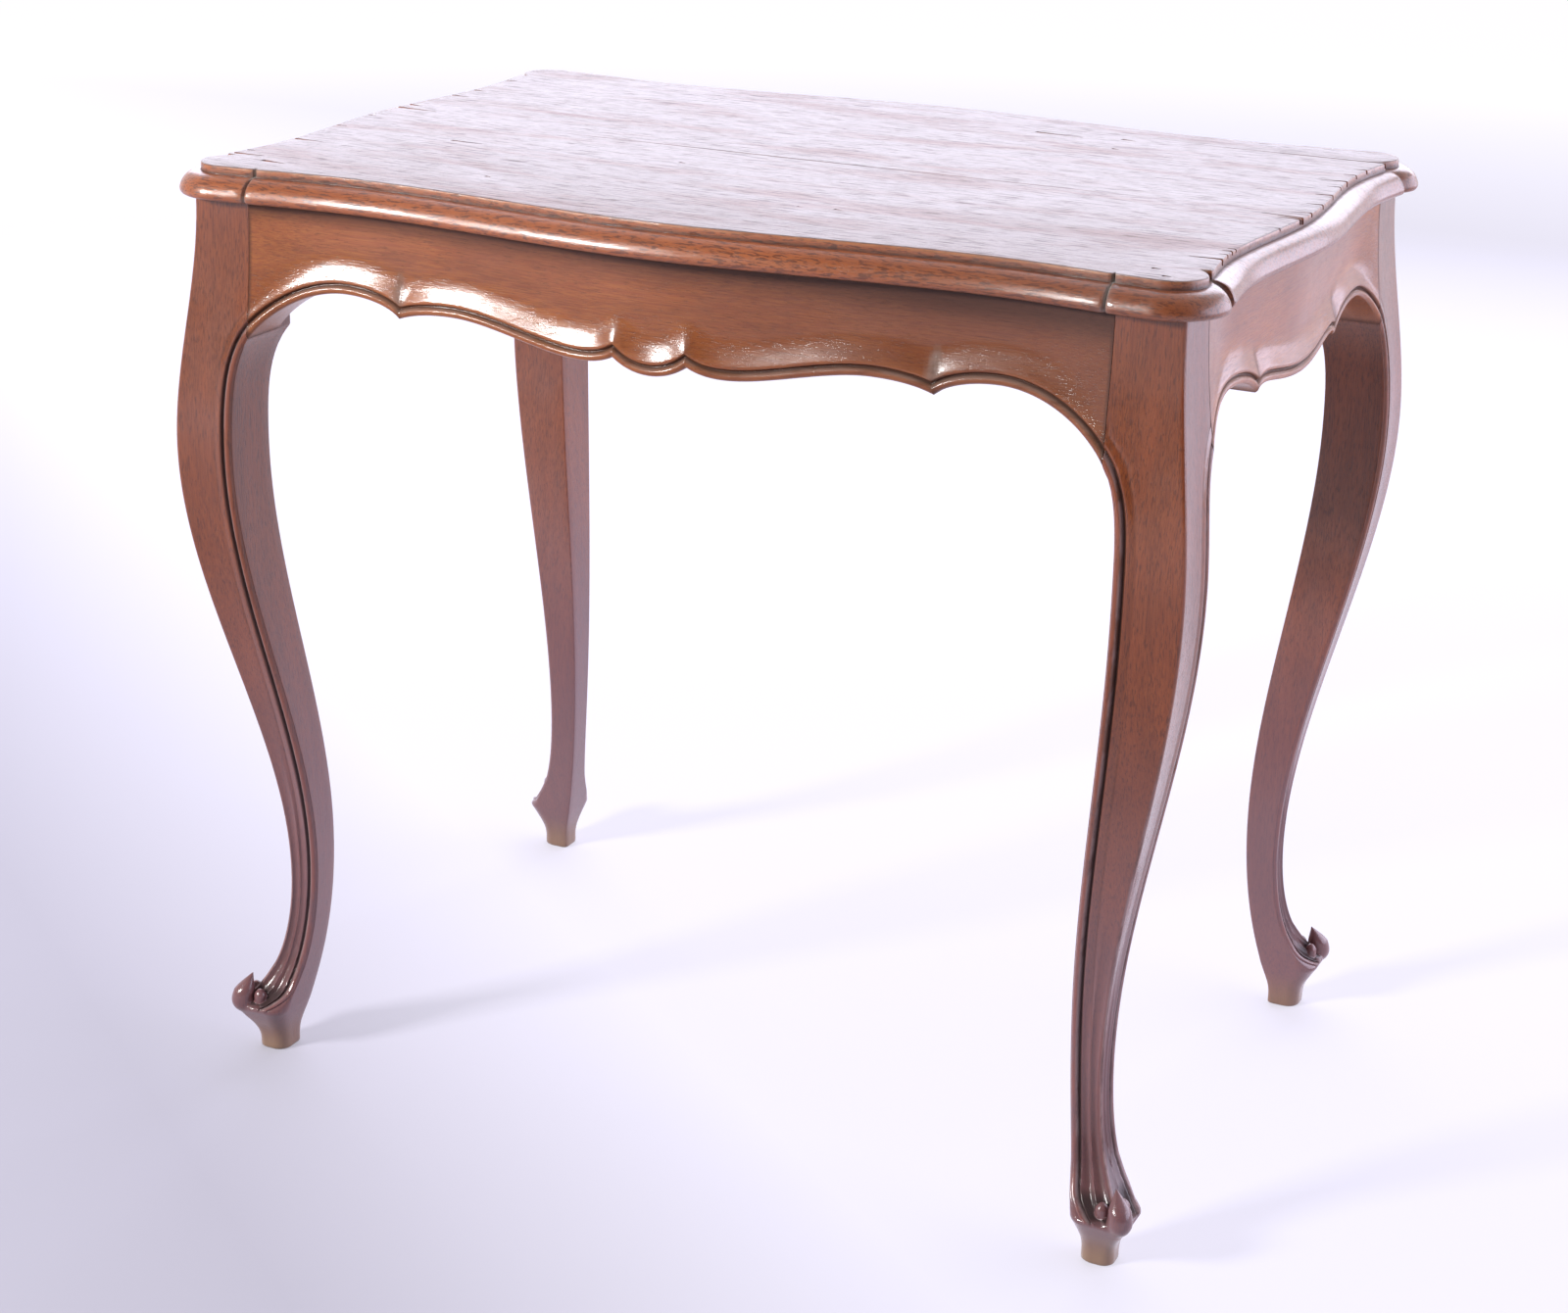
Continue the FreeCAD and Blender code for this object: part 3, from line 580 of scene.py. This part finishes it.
def towardsPeg(points, z, share):
    # the same number of points on a square with round corners, spread by the length along the ring
    half = leg["pegHalf"] - leg["pegChamfer"] * float(ease(leg["pegFoot"], 0, z))
    line = []
    for sx, sy, r, start, end in leg["pegCorners"]:
        turn = np.radians(np.linspace(start, end, 20))
        line.append(np.stack([sx * (half - r) + r * np.cos(turn),
                              sy * (half - r) + r * np.sin(turn)], axis=1))
    line = np.concatenate(line) + leg["pegCentre"]
    run, walk = (np.concatenate([[0], np.cumsum(np.linalg.norm(np.diff(path, axis=0), axis=1))])
                 for path in (line, points[:, :2]))
    at = walk / walk[-1] * run[-1]
    peg = np.stack([np.interp(at, run, line[:, 0]), np.interp(at, run, line[:, 1])], axis=1)
    points = points.copy()
    points[:, :2] = points[:, :2] * (1 - share) + peg * share
    return points


def halfRing(z, o, r, roundness, edge, pastRim):
    # half a ring round the leg, from its inner corner to its arris: x, y, z, wax, wear, and dirt with the
    # painted arris highlight, of each point
    i = float(inner(z)) if z < legMeets else -post
    w = o - i
    fade = float(ease(*leg["fade"], pastRim)) if pastRim is not None else 1.0
    strip, onStrip, beyond = leg["strip"]
    c = np.linspace(edge, w - r, onStrip + beyond - 1)
    if edge < 1:
        dense = np.concatenate([np.linspace(edge, strip, onStrip), np.linspace(strip, w - r, beyond)[1:]])
        c = dense + (c - dense) * float(ease(*leg["evenDown"], z))
    a = i + c
    if z > leg["join"]:
        line = np.concatenate([curve(longApron["arch"]) - (postX, 0), legEdge(0)])
        d = np.maximum(edgeDistance(a, np.full(a.shape, z), line), 0)
    else:
        d = c - edge
    relief = legCarving(d) * fade
    channel = np.clip((c - edge - leg["channel"]) / max(w - edge - leg["channel"] - r, 1), 0, 1)
    one = np.sin(np.pi * channel)
    two = np.abs(np.sin(2 * np.pi * channel)) ** 0.8  # lower down the channel is a pair of flutes
    flutes = one + (two - one) * float(ease(*leg["fluted"], z))
    depth = leg["hollow"] + (leg["ankleHollow"] - leg["hollow"]) * float(ease(*leg["deeper"], z))
    hollow = depth * flutes * float(ease(underTop, leg["runOut"], z)) * fade
    wax = np.maximum(grooveWax(d), np.interp(d, leg["lineAt"], leg["lineWax"])) * fade
    wax = np.maximum(wax, leg["fluteWax"] * two * float(ease(*leg["fluteWaxDown"], z)) * fade)
    if pastRim is not None:
        behind = float(ease(*leg["rimWaxStart"], pastRim) * ease(*leg["rimWaxEnd"], pastRim))
        wax = np.maximum(wax, leg["rimWax"] * ease(*leg["rimWaxFrom"], d) * behind)
    wear = np.interp(d, leg["wearAt"], leg["wear"]) * fade
    # inner corner, inner face, beaded edge, carved face, arris
    rows = []
    small = leg["innerCorner"]
    for turn in np.radians((225, 202.5, 180)):
        rows.append((i + small + small * math.cos(turn), i + small + small * math.sin(turn), z, 0, 0.2, 0))
    start = o + relief[0] - edge
    for share in (0.2, 0.4, 0.6, 0.8, 0.93):
        rows.append((i, i + small + (start - i - small) * share, z, 0, 0, 0))
    for turn in np.radians(np.linspace(180, 90, 8)[:-1]):
        rows.append((i + edge + edge * math.cos(turn), start + edge * math.sin(turn), z, 0, 0.3 * fade, 0))
    rows += list(zip(a, o + relief - hollow, np.full(len(a), z), wax, wear, beadDust(d) * fade))
    # painted highlight: a pale line down the rounded arris low on the leg, carried with the dirt
    rubbed = float(ease(*leg["rubbed"], z)) * fade
    for turn, pale in zip(np.radians((72, 57, 45)), (0.2, 0.7, 0.9)):
        rows.append((o - r + r * math.cos(turn), o - r + r * math.sin(turn), z, 0.0, 0.8, pale * rubbed))
    rows = np.array(rows)
    return towardsPeg(rows, z, roundness) if roundness > 0 else rows


def bud(middle, half, rise, point, lean, dark):
    clearSelection()
    bpy.ops.mesh.primitive_uv_sphere_add(segments=32, ring_count=18, radius=1)
    obj = bpy.context.object
    ball = pointsOf(obj)
    high, low = np.clip(ball[:, 2], 0, 1), np.clip(-ball[:, 2], 0, 1)
    ball[:, :2] *= (1 - point * high ** 2)[:, None]
    ball *= half
    ball[:, 2] += high * (rise - half[2])
    ball[:, :2] -= (lean * high ** 1.5)[:, None]
    obj.data.vertices.foreach_set("co", ((ball + middle) * mm).ravel())
    mark(obj, wax=dark + 0.2 * low + 0.6 * point * high ** 2, wear=0.7 - 0.5 * low)
    bpy.ops.object.shade_smooth()
    return obj


def carvedLeg(name):
    rings = []
    for ring in legRings():
        half = halfRing(*ring)
        other = half[::-1][:, [1, 0, 2, 3, 4, 5]]
        rings.append(np.concatenate([half, other[1:]]))
    rings = np.array(rings)
    obj = shapedGrid(name, rings[:, :, :3], wax=rings[:, :, 3], wear=rings[:, :, 4], dirt=rings[:, :, 5])
    closeUp(obj, leg["sharpFrom"])
    combine(obj, [bud(*one) for one in leg["buds"]], "UNION")
    at = pointsOf(obj) / mm
    near = np.zeros(len(at), bool)
    for middle, half, *_ in leg["buds"]:
        far = np.linalg.norm((at - middle) / half, axis=1)
        near |= (far < leg["blendReach"]) & (at[:, 2] < middle[2] + half[2] * leg["blendUp"])
    pick(obj)
    bpy.ops.object.mode_set(mode="EDIT")
    bpy.ops.mesh.select_mode(type="VERT")
    bpy.ops.mesh.select_all(action="DESELECT")
    bpy.ops.object.mode_set(mode="OBJECT")
    obj.data.vertices.foreach_set("select", near)
    bpy.ops.object.mode_set(mode="EDIT")
    bpy.ops.mesh.vertices_smooth(factor=0.5, repeat=leg["blend"])
    bpy.ops.object.mode_set(mode="OBJECT")
    bpy.ops.object.shade_smooth_by_angle(angle=math.radians(leg["sharpFrom"]))
    return obj


cornerLeg = carvedLeg("carvedLeg")
for name, node, turn, x, y in (("carvedLegBackRight", "leg_back_right", 0, postX, postY),
                               ("carvedLegBackLeft", "leg_back_left", 90, -postX, postY),
                               ("carvedLegFrontLeft", "leg_front_left", 180, -postX, -postY),
                               ("carvedLegFrontRight", "leg_front_right", -90, postX, -postY)):
    settle(copyOf(cornerLeg, name, turn, (x, y, 0)), node, legWood)
bpy.data.objects.remove(cornerLeg)
print("legs carved")


# top: raised field, step and rounded edge, worked on the glued-up boards and parted at the seams
top = {
    "longEdge": ((0, 264), (90, 257.67), (270, 245), (321.5, 251)),
    "shortEdge": ((0, 381), (55, 377.83), (165, 371.5), (207.5, 377)),
    "longCount": 70, "shortCount": 46, "earCount": 24,
    "ear": (357.0, 230.0, 24.0), "earBulge": 1.6,  # centre and radius, fullness of its shorter flank
    # thin cuts where the ears meet the long and short edges
    # the end of the short moulding stands proud of the ear
    "longCut": ((322.3, 251.0), (323.6, 250.4), (324.4, 248.6), (325.0, 247.0), (325.6, 248.6),
                (326.6, 250.6), (328.2, 251.2)),
    "shortCut": ((372.6, 214.6), (371.8, 213.4), (369.6, 212.4), (370.6, 211.5), (374.6, 211.0),
                 (376.6, 210.4), (377.2, 209.0)),
    "cutSpread": 1.2, "dirtSpread": 3.2,  # how far wax and dirt spread from the cuts
    "cutWax": 0.6, "stepWax": 0.75, "rimWear": 0.9,
    "overhang": 16.0, "edge": 17.0, "step": 6.0, "seams": (-9.0, 208.0), "sharpFrom": 32,
    # worn rim of the field and the wall of the step: how far out, how far down
    "fieldRim": ((-1.5, 0), (-0.7, 0.15), (-0.2, 0.6), (0, 1.4), (0.1, 3), (0.2, 5.4), (0.35, 6)),
    "under": (3, -6),  # rows of points on the underside
    # the edge is a large quarter round that turns under in a small one: radius, angle where they meet
    "upperRound": 15.4, "lowerRound": 4.0, "upperFrom": 85.0, "meet": 12.0,
    # splits and wear of the dry field: from, to, width at each end, depth
    "splits": (
        (-384, -193, -366, -191, 7.6, 0.9, 2.6), (-385, -206, -348, -205.4, 6.5, 0.8, 2.6),
        (-340, -219.4, -318, -222.4, 5.1, 0.8, 1.7), (-382, -135.4, -344, -135.8, 6.1, 0.8, 2.4),
        (-386, -72, -366, -70, 6.5, 1.0, 2.2), (-386, 39, -364, 35.4, 8.7, 0.9, 2.6),
        (-386, 23, -341, 20.2, 6.5, 0.8, 2.4), (-384, 94, -355, 93.2, 6.5, 0.9, 2.4),
        (-380, 125.2, -358, 124, 6.5, 1.0, 2.4), (-378, 181, -362, 182, 5.6, 1.0, 2.2),
        (-266, -79.6, -238, -81.4, 3.5, 0.6, 1.4), (-386, -20, -371, -20.6, 3.9, 0.9, 1.7),
        (382, -176, 350, -177, 5.8, 0.8, 2.4), (382, -160.4, 365, -161, 4.6, 0.9, 1.9),
        (382, -149.4, 364, -150, 5.2, 0.9, 1.9), (382, -141.4, 365, -142, 4.0, 0.9, 1.7),
        (386, -22.4, 350, -18, 5.2, 0.8, 2.4), (388, -26.6, 363, -25.4, 5.2, 0.8, 2.2),
        (388, -63, 373, -64, 4.6, 0.9, 1.7), (388, -0.4, 370, -3, 4.6, 0.9, 1.9),
        (388, 31.4, 368, 29, 5.8, 0.9, 2.2), (386, 69, 364, 65, 5.8, 0.9, 2.2),
        (382, 124, 351, 121, 6.2, 0.8, 2.4), (384, 101, 363, 98.6, 5.2, 0.9, 1.9),
        (382, 151, 361, 149.6, 4.6, 0.9, 1.9), (382, 174.4, 362, 173, 4.6, 0.9, 1.9),
        (102, 192.3, 143, 188.4, 4.3, 0.6, 1.7), (171, 198, 184, 195.2, 4.3, 0.8, 1.4),
        (178, 156, 184, 155.8, 3.5, 0.8, 1.2), (-78, -67.4, -73, -67.6, 3.8, 1.1, 1.2),
        (91, -162.5, 97, -162.4, 3.1, 0.8, 1.2), (65, -167, 69, -167, 2.6, 0.8, 1.2),
        (-172, -186.6, -167, -187, 3.8, 1.1, 1.2), (341, -223.6, 347, -223.3, 4.0, 1.0, 1.2),
        (354, -242.2, 360, -241.8, 4.0, 1.0, 1.2)),
    # where the glue joints have opened: from, to, width at each end, depth
    "openSeams": ((-30, -9, -205, -9, 2.4, 0.7, 1.6), (-29.9, -9, 246, -9, 2.4, 0.7, 1.6),
                  (383, 208, 222, 208, 3.2, 0.7, 1.8)),
    # a split is narrower at its floor than at the surface, and deeper at its wide end
    "halfAbove": 0.5, "halfFloor": 0.4, "deepEnd": 2.2}
ledge = underTop + top["edge"]
full = ledge + top["step"]


def quarterOutline(off):
    x = np.linspace(0, top["longEdge"][-1][0], top["longCount"])
    run = [np.stack([x, serpentine(top["longEdge"], x) + off], axis=1)]
    cx, cy, r = top["ear"]
    run.append(np.array(top["longCut"]) + (0, off))
    line = np.linspace(0, 1, 9)[1:, None]
    run.append((1 - line) * run[-1][-1] + line * (cx, cy + r + off))
    turn = np.radians(np.linspace(90, 0, top["earCount"]))[1:]
    run.append(np.stack([cx + (r + off) * np.cos(turn), cy + (r + off) * np.sin(turn)], axis=1))
    cut = np.array(top["shortCut"]) + (off, 0)
    bulge = np.sin(np.pi * line) * (top["earBulge"], 0)
    run.append(((1 - line) * run[-1][-1] + line * cut[0] + bulge)[:-1])
    run.append(cut)
    y = np.linspace(top["shortEdge"][-1][0], 0, top["shortCount"])
    run.append(np.stack([serpentine(top["shortEdge"], y) + off, y], axis=1))
    return np.concatenate(run)


def outline(off):
    q = quarterOutline(off)
    return np.concatenate([q, q[::-1][1:] * (1, -1), q[1:] * (-1, -1), q[::-1][1:] * (-1, 1)])


def carvedTop(name):
    # rows of points from the field over the step and round the edge to the underside: how far out, height
    rows = [(off, full - down) for off, down in top["fieldRim"]]
    big, little, meet = top["upperRound"], top["lowerRound"], math.radians(top["meet"])
    inX, inZ = top["overhang"] - little, underTop + little
    farX, farZ = inX - (big - little) * math.cos(meet), inZ - (big - little) * math.sin(meet)
    for turn in np.linspace(math.radians(top["upperFrom"]), meet, 13):
        rows.append((farX + big * math.cos(turn), farZ + big * math.sin(turn)))
    for turn in np.linspace(meet, -math.pi / 2, 9)[1:]:
        rows.append((inX + little * math.cos(turn), inZ + little * math.sin(turn)))
    rows += [(off, underTop) for off in top["under"]]
    (lx, ly), (sx, sy) = top["longCut"][3], top["shortCut"][2]
    points, wax, dirt = [], [], []
    for off, z in rows:
        ring = outline(off)
        points.append(np.concatenate([ring, np.full((len(ring), 1), z)], axis=1))
        # dirt and wax in the cuts and in the corner of the step, none on the field and the underside
        notch = np.minimum(np.hypot(np.abs(ring[:, 0]) - lx, np.abs(ring[:, 1]) - ly - off),
                           np.hypot(np.abs(ring[:, 0]) - sx - off, np.abs(ring[:, 1]) - sy))
        onEdge = underTop + 0.5 < z < full - 0.2
        inStep = ledge - 0.2 < z < ledge + 1 and off < 2
        dirt.append(np.exp(-(notch / top["dirtSpread"]) ** 2) * onEdge)
        wax.append(np.maximum(top["stepWax"] * inStep,
                              top["cutWax"] * np.exp(-(notch / top["cutSpread"]) ** 2)) * onEdge)
    wear = np.zeros(np.shape(wax))
    wear[1:4] = top["rimWear"]  # the rounded rows of the rim
    obj = shapedGrid(name, np.array(points), wax=np.array(wax), wear=wear, dirt=np.array(dirt))
    closeUp(obj, top["sharpFrom"])
    return obj


def wedge(x0, y0, x1, y1, wide, narrow, depth):
    # a split in the wood: a thin wedge that opens upwards
    clearSelection()
    bpy.ops.mesh.primitive_cube_add(size=1)
    obj = bpy.context.object
    along = Vector((x1 - x0, y1 - y0, 0))
    across = Vector((-along.y, along.x, 0)).normalized()
    for vertex in obj.data.vertices:
        atEnd, onLeft, above = (value > 0 for value in vertex.co)
        half = (narrow if atEnd else wide) * top["halfAbove" if above else "halfFloor"]
        at = Vector((x0, y0, 0)) + along * atEnd + across * (half if onLeft else -half)
        at.z = full + 1 if above else full - depth * (1.0 if atEnd else top["deepEnd"])
        vertex.co = at * mm
    mark(obj, wax=np.ones(8))
    return obj


def board(whole, name, low, high):
    obj = copyOf(whole, name)
    for y, way in ((low, 1), (high, -1)):
        if math.isinf(y):
            continue
        pick(obj)
        bpy.ops.object.mode_set(mode="EDIT")
        bpy.ops.mesh.select_all(action="SELECT")
        bpy.ops.mesh.bisect(plane_co=(0, (y + way * daylight) * mm, 0), plane_no=(0, 1, 0), use_fill=True,
                            clear_inner=way > 0, clear_outer=way < 0)
        bpy.ops.object.mode_set(mode="OBJECT")
    closeUp(obj, top["sharpFrom"])
    here = [one for one in top["splits"] if low < one[1] < high]
    here += [one for one in top["openSeams"] if low <= one[1] <= high]
    combine(obj, [wedge(*one) for one in here])
    pick(obj)
    bpy.ops.object.shade_smooth_by_angle(angle=math.radians(top["sharpFrom"]))
    return obj


wholeTop = carvedTop("carvedTop")
seamFront, seamBack = top["seams"]
for name, node, low, high in (("topBoardFront", "top_board_front", -math.inf, seamFront),
                              ("topBoardMiddle", "top_board_middle", seamFront, seamBack),
                              ("topBoardBack", "top_board_back", seamBack, math.inf)):
    settle(board(wholeTop, name, low, high), node, topWood)
bpy.data.objects.remove(wholeTop)
print("top boards moulded")


# blocks and screws inside the frame keep their joiner's shapes
# beech, sawn and left bare: dull, straight grained, with saw lines
def bareBeech(name):
    mat, tree = emptyMaterial(name)
    place = addNode(tree, "ShaderNodeTexCoord").outputs["Object"]
    grain = addNode(tree, "ShaderNodeMapping", {"Vector": place, "Scale": (1 / 0.06, 1 / 0.004, 1 / 0.004)})
    lines = addNode(tree, "ShaderNodeTexNoise", {"Vector": grain.outputs[0], "Scale": 1.0, "Detail": 4.0})
    saw = addNode(tree, "ShaderNodeTexWave", {
        "Vector": place, "Scale": 1 / 0.009, "Distortion": 2.0, "Detail": 2.0}, bands_direction="DIAGONAL")
    share = addNode(tree, "ShaderNodeMapRange", {
        "Value": lines.outputs["Fac"], "From Min": 0.3, "From Max": 0.7})
    colour = addNode(tree, "ShaderNodeMix", {0: share.outputs[0], 6: linear("#8a6a4a"), 7: linear("#b08b63")},
                     data_type="RGBA")
    relief = addNode(tree, "ShaderNodeBump", {
        "Height": saw.outputs["Fac"], "Strength": 0.3, "Distance": 0.2 * mm})
    shader = addNode(tree, "ShaderNodeBsdfPrincipled", {
        "Base Color": colour.outputs[2], "Roughness": 0.75, "IOR": 1.45, "Normal": relief.outputs["Normal"]})
    addNode(tree, "ShaderNodeOutputMaterial", {"Surface": shader.outputs["BSDF"]})
    return mat


# iron wood screws, turned and gone brown: metal with rust spots
def oldIron(name):
    mat, tree = emptyMaterial(name)
    place = addNode(tree, "ShaderNodeTexCoord").outputs["Object"]
    spots = addNode(tree, "ShaderNodeTexNoise", {"Vector": place, "Scale": 1 / 0.003, "Detail": 5.0})
    rust = addNode(tree, "ShaderNodeMapRange", {
        "Value": spots.outputs["Fac"], "From Min": 0.48, "From Max": 0.62})
    colour = addNode(tree, "ShaderNodeMix", {0: rust.outputs[0], 6: linear("#6d6a68"), 7: linear("#4b3123")},
                     data_type="RGBA")
    clean = addNode(tree, "ShaderNodeMath", {0: 1.0, 1: rust.outputs[0]}, operation="SUBTRACT")
    dull = addNode(tree, "ShaderNodeMapRange", {"Value": spots.outputs["Fac"], "To Min": 0.35, "To Max": 0.7})
    shader = addNode(tree, "ShaderNodeBsdfPrincipled", {
        "Base Color": colour.outputs[2], "Metallic": clean.outputs[0], "Roughness": dull.outputs[0]})
    addNode(tree, "ShaderNodeOutputMaterial", {"Surface": shader.outputs["BSDF"]})
    return mat


blockWood = bareBeech("beechSawnBare")
screwIron = oldIron("ironTurnedAndRusted")
for name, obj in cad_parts.items():
    if "block" in name or "screws" in name:
        finish = screwIron if "screws" in name else blockWood
        if obj.material_slots:
            for place in obj.material_slots:
                place.material = finish
        else:
            obj.data.materials.append(finish)
print("blocks and screws finished")


# studio: pale floor, soft lamps at the front left, on the right and behind, white surroundings
clearSelection()
bpy.ops.mesh.primitive_plane_add(size=30)
floor = bpy.context.object
floor.name = "floor"
paper, tree = emptyMaterial("paperFloorPale")
where = addNode(tree, "ShaderNodeTexCoord").outputs["Object"]
# white paper; in the light it bounces onto the table it is greyer towards the front left, painted shade that
# keeps the shadow under the top deep
away = addNode(tree, "ShaderNodeVectorMath", {0: where, 1: (0.6, 0.8, 0.0)}, operation="DOT_PRODUCT")
whiter = addNode(tree, "ShaderNodeMapRange", {
    "Value": away.outputs["Value"], "From Min": -0.4, "From Max": 0.3})
tone = addNode(tree, "ShaderNodeMix", {0: whiter.outputs[0], 6: linear("#a1a0aa"), 7: linear("#dedce6")},
               data_type="RGBA")
path = addNode(tree, "ShaderNodeLightPath")
seen = addNode(tree, "ShaderNodeMath", {0: path.outputs["Is Camera Ray"], 1: path.outputs["Is Glossy Ray"]},
               operation="MAXIMUM")
shade = addNode(tree, "ShaderNodeMix", {0: seen.outputs[0], 6: tone.outputs[2], 7: linear("#96939f")},
                data_type="RGBA")
flat = addNode(tree, "ShaderNodeBsdfDiffuse", {"Color": shade.outputs[2]})
# painted light: a glow on the paper that only the camera and reflections see, fainter towards the front left
# and brighter far off
near = addNode(tree, "ShaderNodeMapRange", {
    "Value": away.outputs["Value"], "From Min": -0.75, "From Max": -0.1, "To Min": 0.0, "To Max": 0.6})
gone = addNode(tree, "ShaderNodeVectorMath", {0: where}, operation="LENGTH")
far = addNode(tree, "ShaderNodeMapRange", {
    "Value": gone.outputs["Value"], "From Min": 1.2, "From Max": 5.0, "To Min": 0.22, "To Max": 0.9})
most = addNode(tree, "ShaderNodeMath", {0: near.outputs[0], 1: far.outputs[0]}, operation="MAXIMUM")
lift = addNode(tree, "ShaderNodeMath", {0: most.outputs[0], 1: seen.outputs[0]}, operation="MULTIPLY")
glow = addNode(tree, "ShaderNodeEmission", {"Color": linear("#f6f4fd"), "Strength": lift.outputs[0]})
both = addNode(tree, "ShaderNodeAddShader", {0: flat.outputs[0], 1: glow.outputs[0]})
addNode(tree, "ShaderNodeOutputMaterial", {"Surface": both.outputs[0]})
floor.data.materials.append(paper)

world = bpy.data.worlds.new("studio")
bpy.context.scene.world = world
world.use_nodes = True
tree = world.node_tree
tree.nodes.clear()
path = addNode(tree, "ShaderNodeLightPath")
# the white sweep is behind the table, the room in front of it is darker
around = addNode(tree, "ShaderNodeTexCoord").outputs["Generated"]
toward = addNode(tree, "ShaderNodeSeparateXYZ", {"Vector": around})
room = addNode(tree, "ShaderNodeMapRange", {
    "Value": toward.outputs["Y"], "From Min": -0.6, "From Max": 0.5, "To Min": 0.12, "To Max": 1.0})
level = addNode(tree, "ShaderNodeMath", {0: path.outputs["Is Camera Ray"], 1: room.outputs[0]},
                operation="MAXIMUM")
glow = addNode(tree, "ShaderNodeBackground", {"Color": linear("#fbf9ff"), "Strength": level.outputs[0]})
addNode(tree, "ShaderNodeOutputWorld", {"Surface": glow.outputs[0]})

# lamps: place and aim in metres, width, height, power, tint
lamps = (("softboxFrontLeft", (-2.55, -3.38, 2.1), (0, 0, 0.6), 0.85, 0.65, 212, "#ffffff"),
         ("softboxRight", (2.9, 1.5, 1.25), (0, 0, 0.6), 5.0, 2.0, 118, "#e3e3ff"),
         ("softboxBehind", (-1.5, 2.8, 2.35), (-1.5, 0, 1.6), 4.8, 2.9, 158, "#e7e9ff"))
for name, spot, aim, wide, tall, power, tint in lamps:
    clearSelection()
    bpy.ops.object.light_add(type="AREA", location=spot)
    lamp = bpy.context.object
    lamp.name = name
    lamp.data.shape = "RECTANGLE"
    lamp.data.size, lamp.data.size_y = wide, tall
    lamp.data.energy = power
    lamp.data.color = linear(tint)[:3]
    lamp.visible_camera = False
    lamp.rotation_euler = (Vector(aim) - Vector(spot)).to_track_quat("-Z", "Y").to_euler()

# camera, solved from the picture's legs, feet and top outline
view = {"at": (0.9252, -1.9987, 1.1276), "azimuth": 25.215, "elevation": 20.138, "roll": 1.234,
        "lens": 68.26, "sensor": 36.0}
az, el, roll = (math.radians(view[k]) for k in ("azimuth", "elevation", "roll"))
back = Vector((math.sin(az) * math.cos(el), -math.cos(az) * math.cos(el), math.sin(el)))
right = (-back).cross(Vector((0, 0, 1))).normalized()
up = right.cross(-back)
tilted = right * math.cos(roll) + up * math.sin(roll)
raised = up * math.cos(roll) - right * math.sin(roll)
clearSelection()
bpy.ops.object.camera_add()
camera = bpy.context.object
camera.data.sensor_fit = "HORIZONTAL"
camera.data.sensor_width = view["sensor"]
camera.data.lens = view["lens"]
turned = Matrix((tilted, raised, back)).transposed().to_4x4()
camera.matrix_world = Matrix.Translation(Vector(view["at"])) @ turned
bpy.context.scene.camera = camera
bpy.context.scene.view_settings.view_transform = "Standard"
clearSelection()
print("studio and camera set")
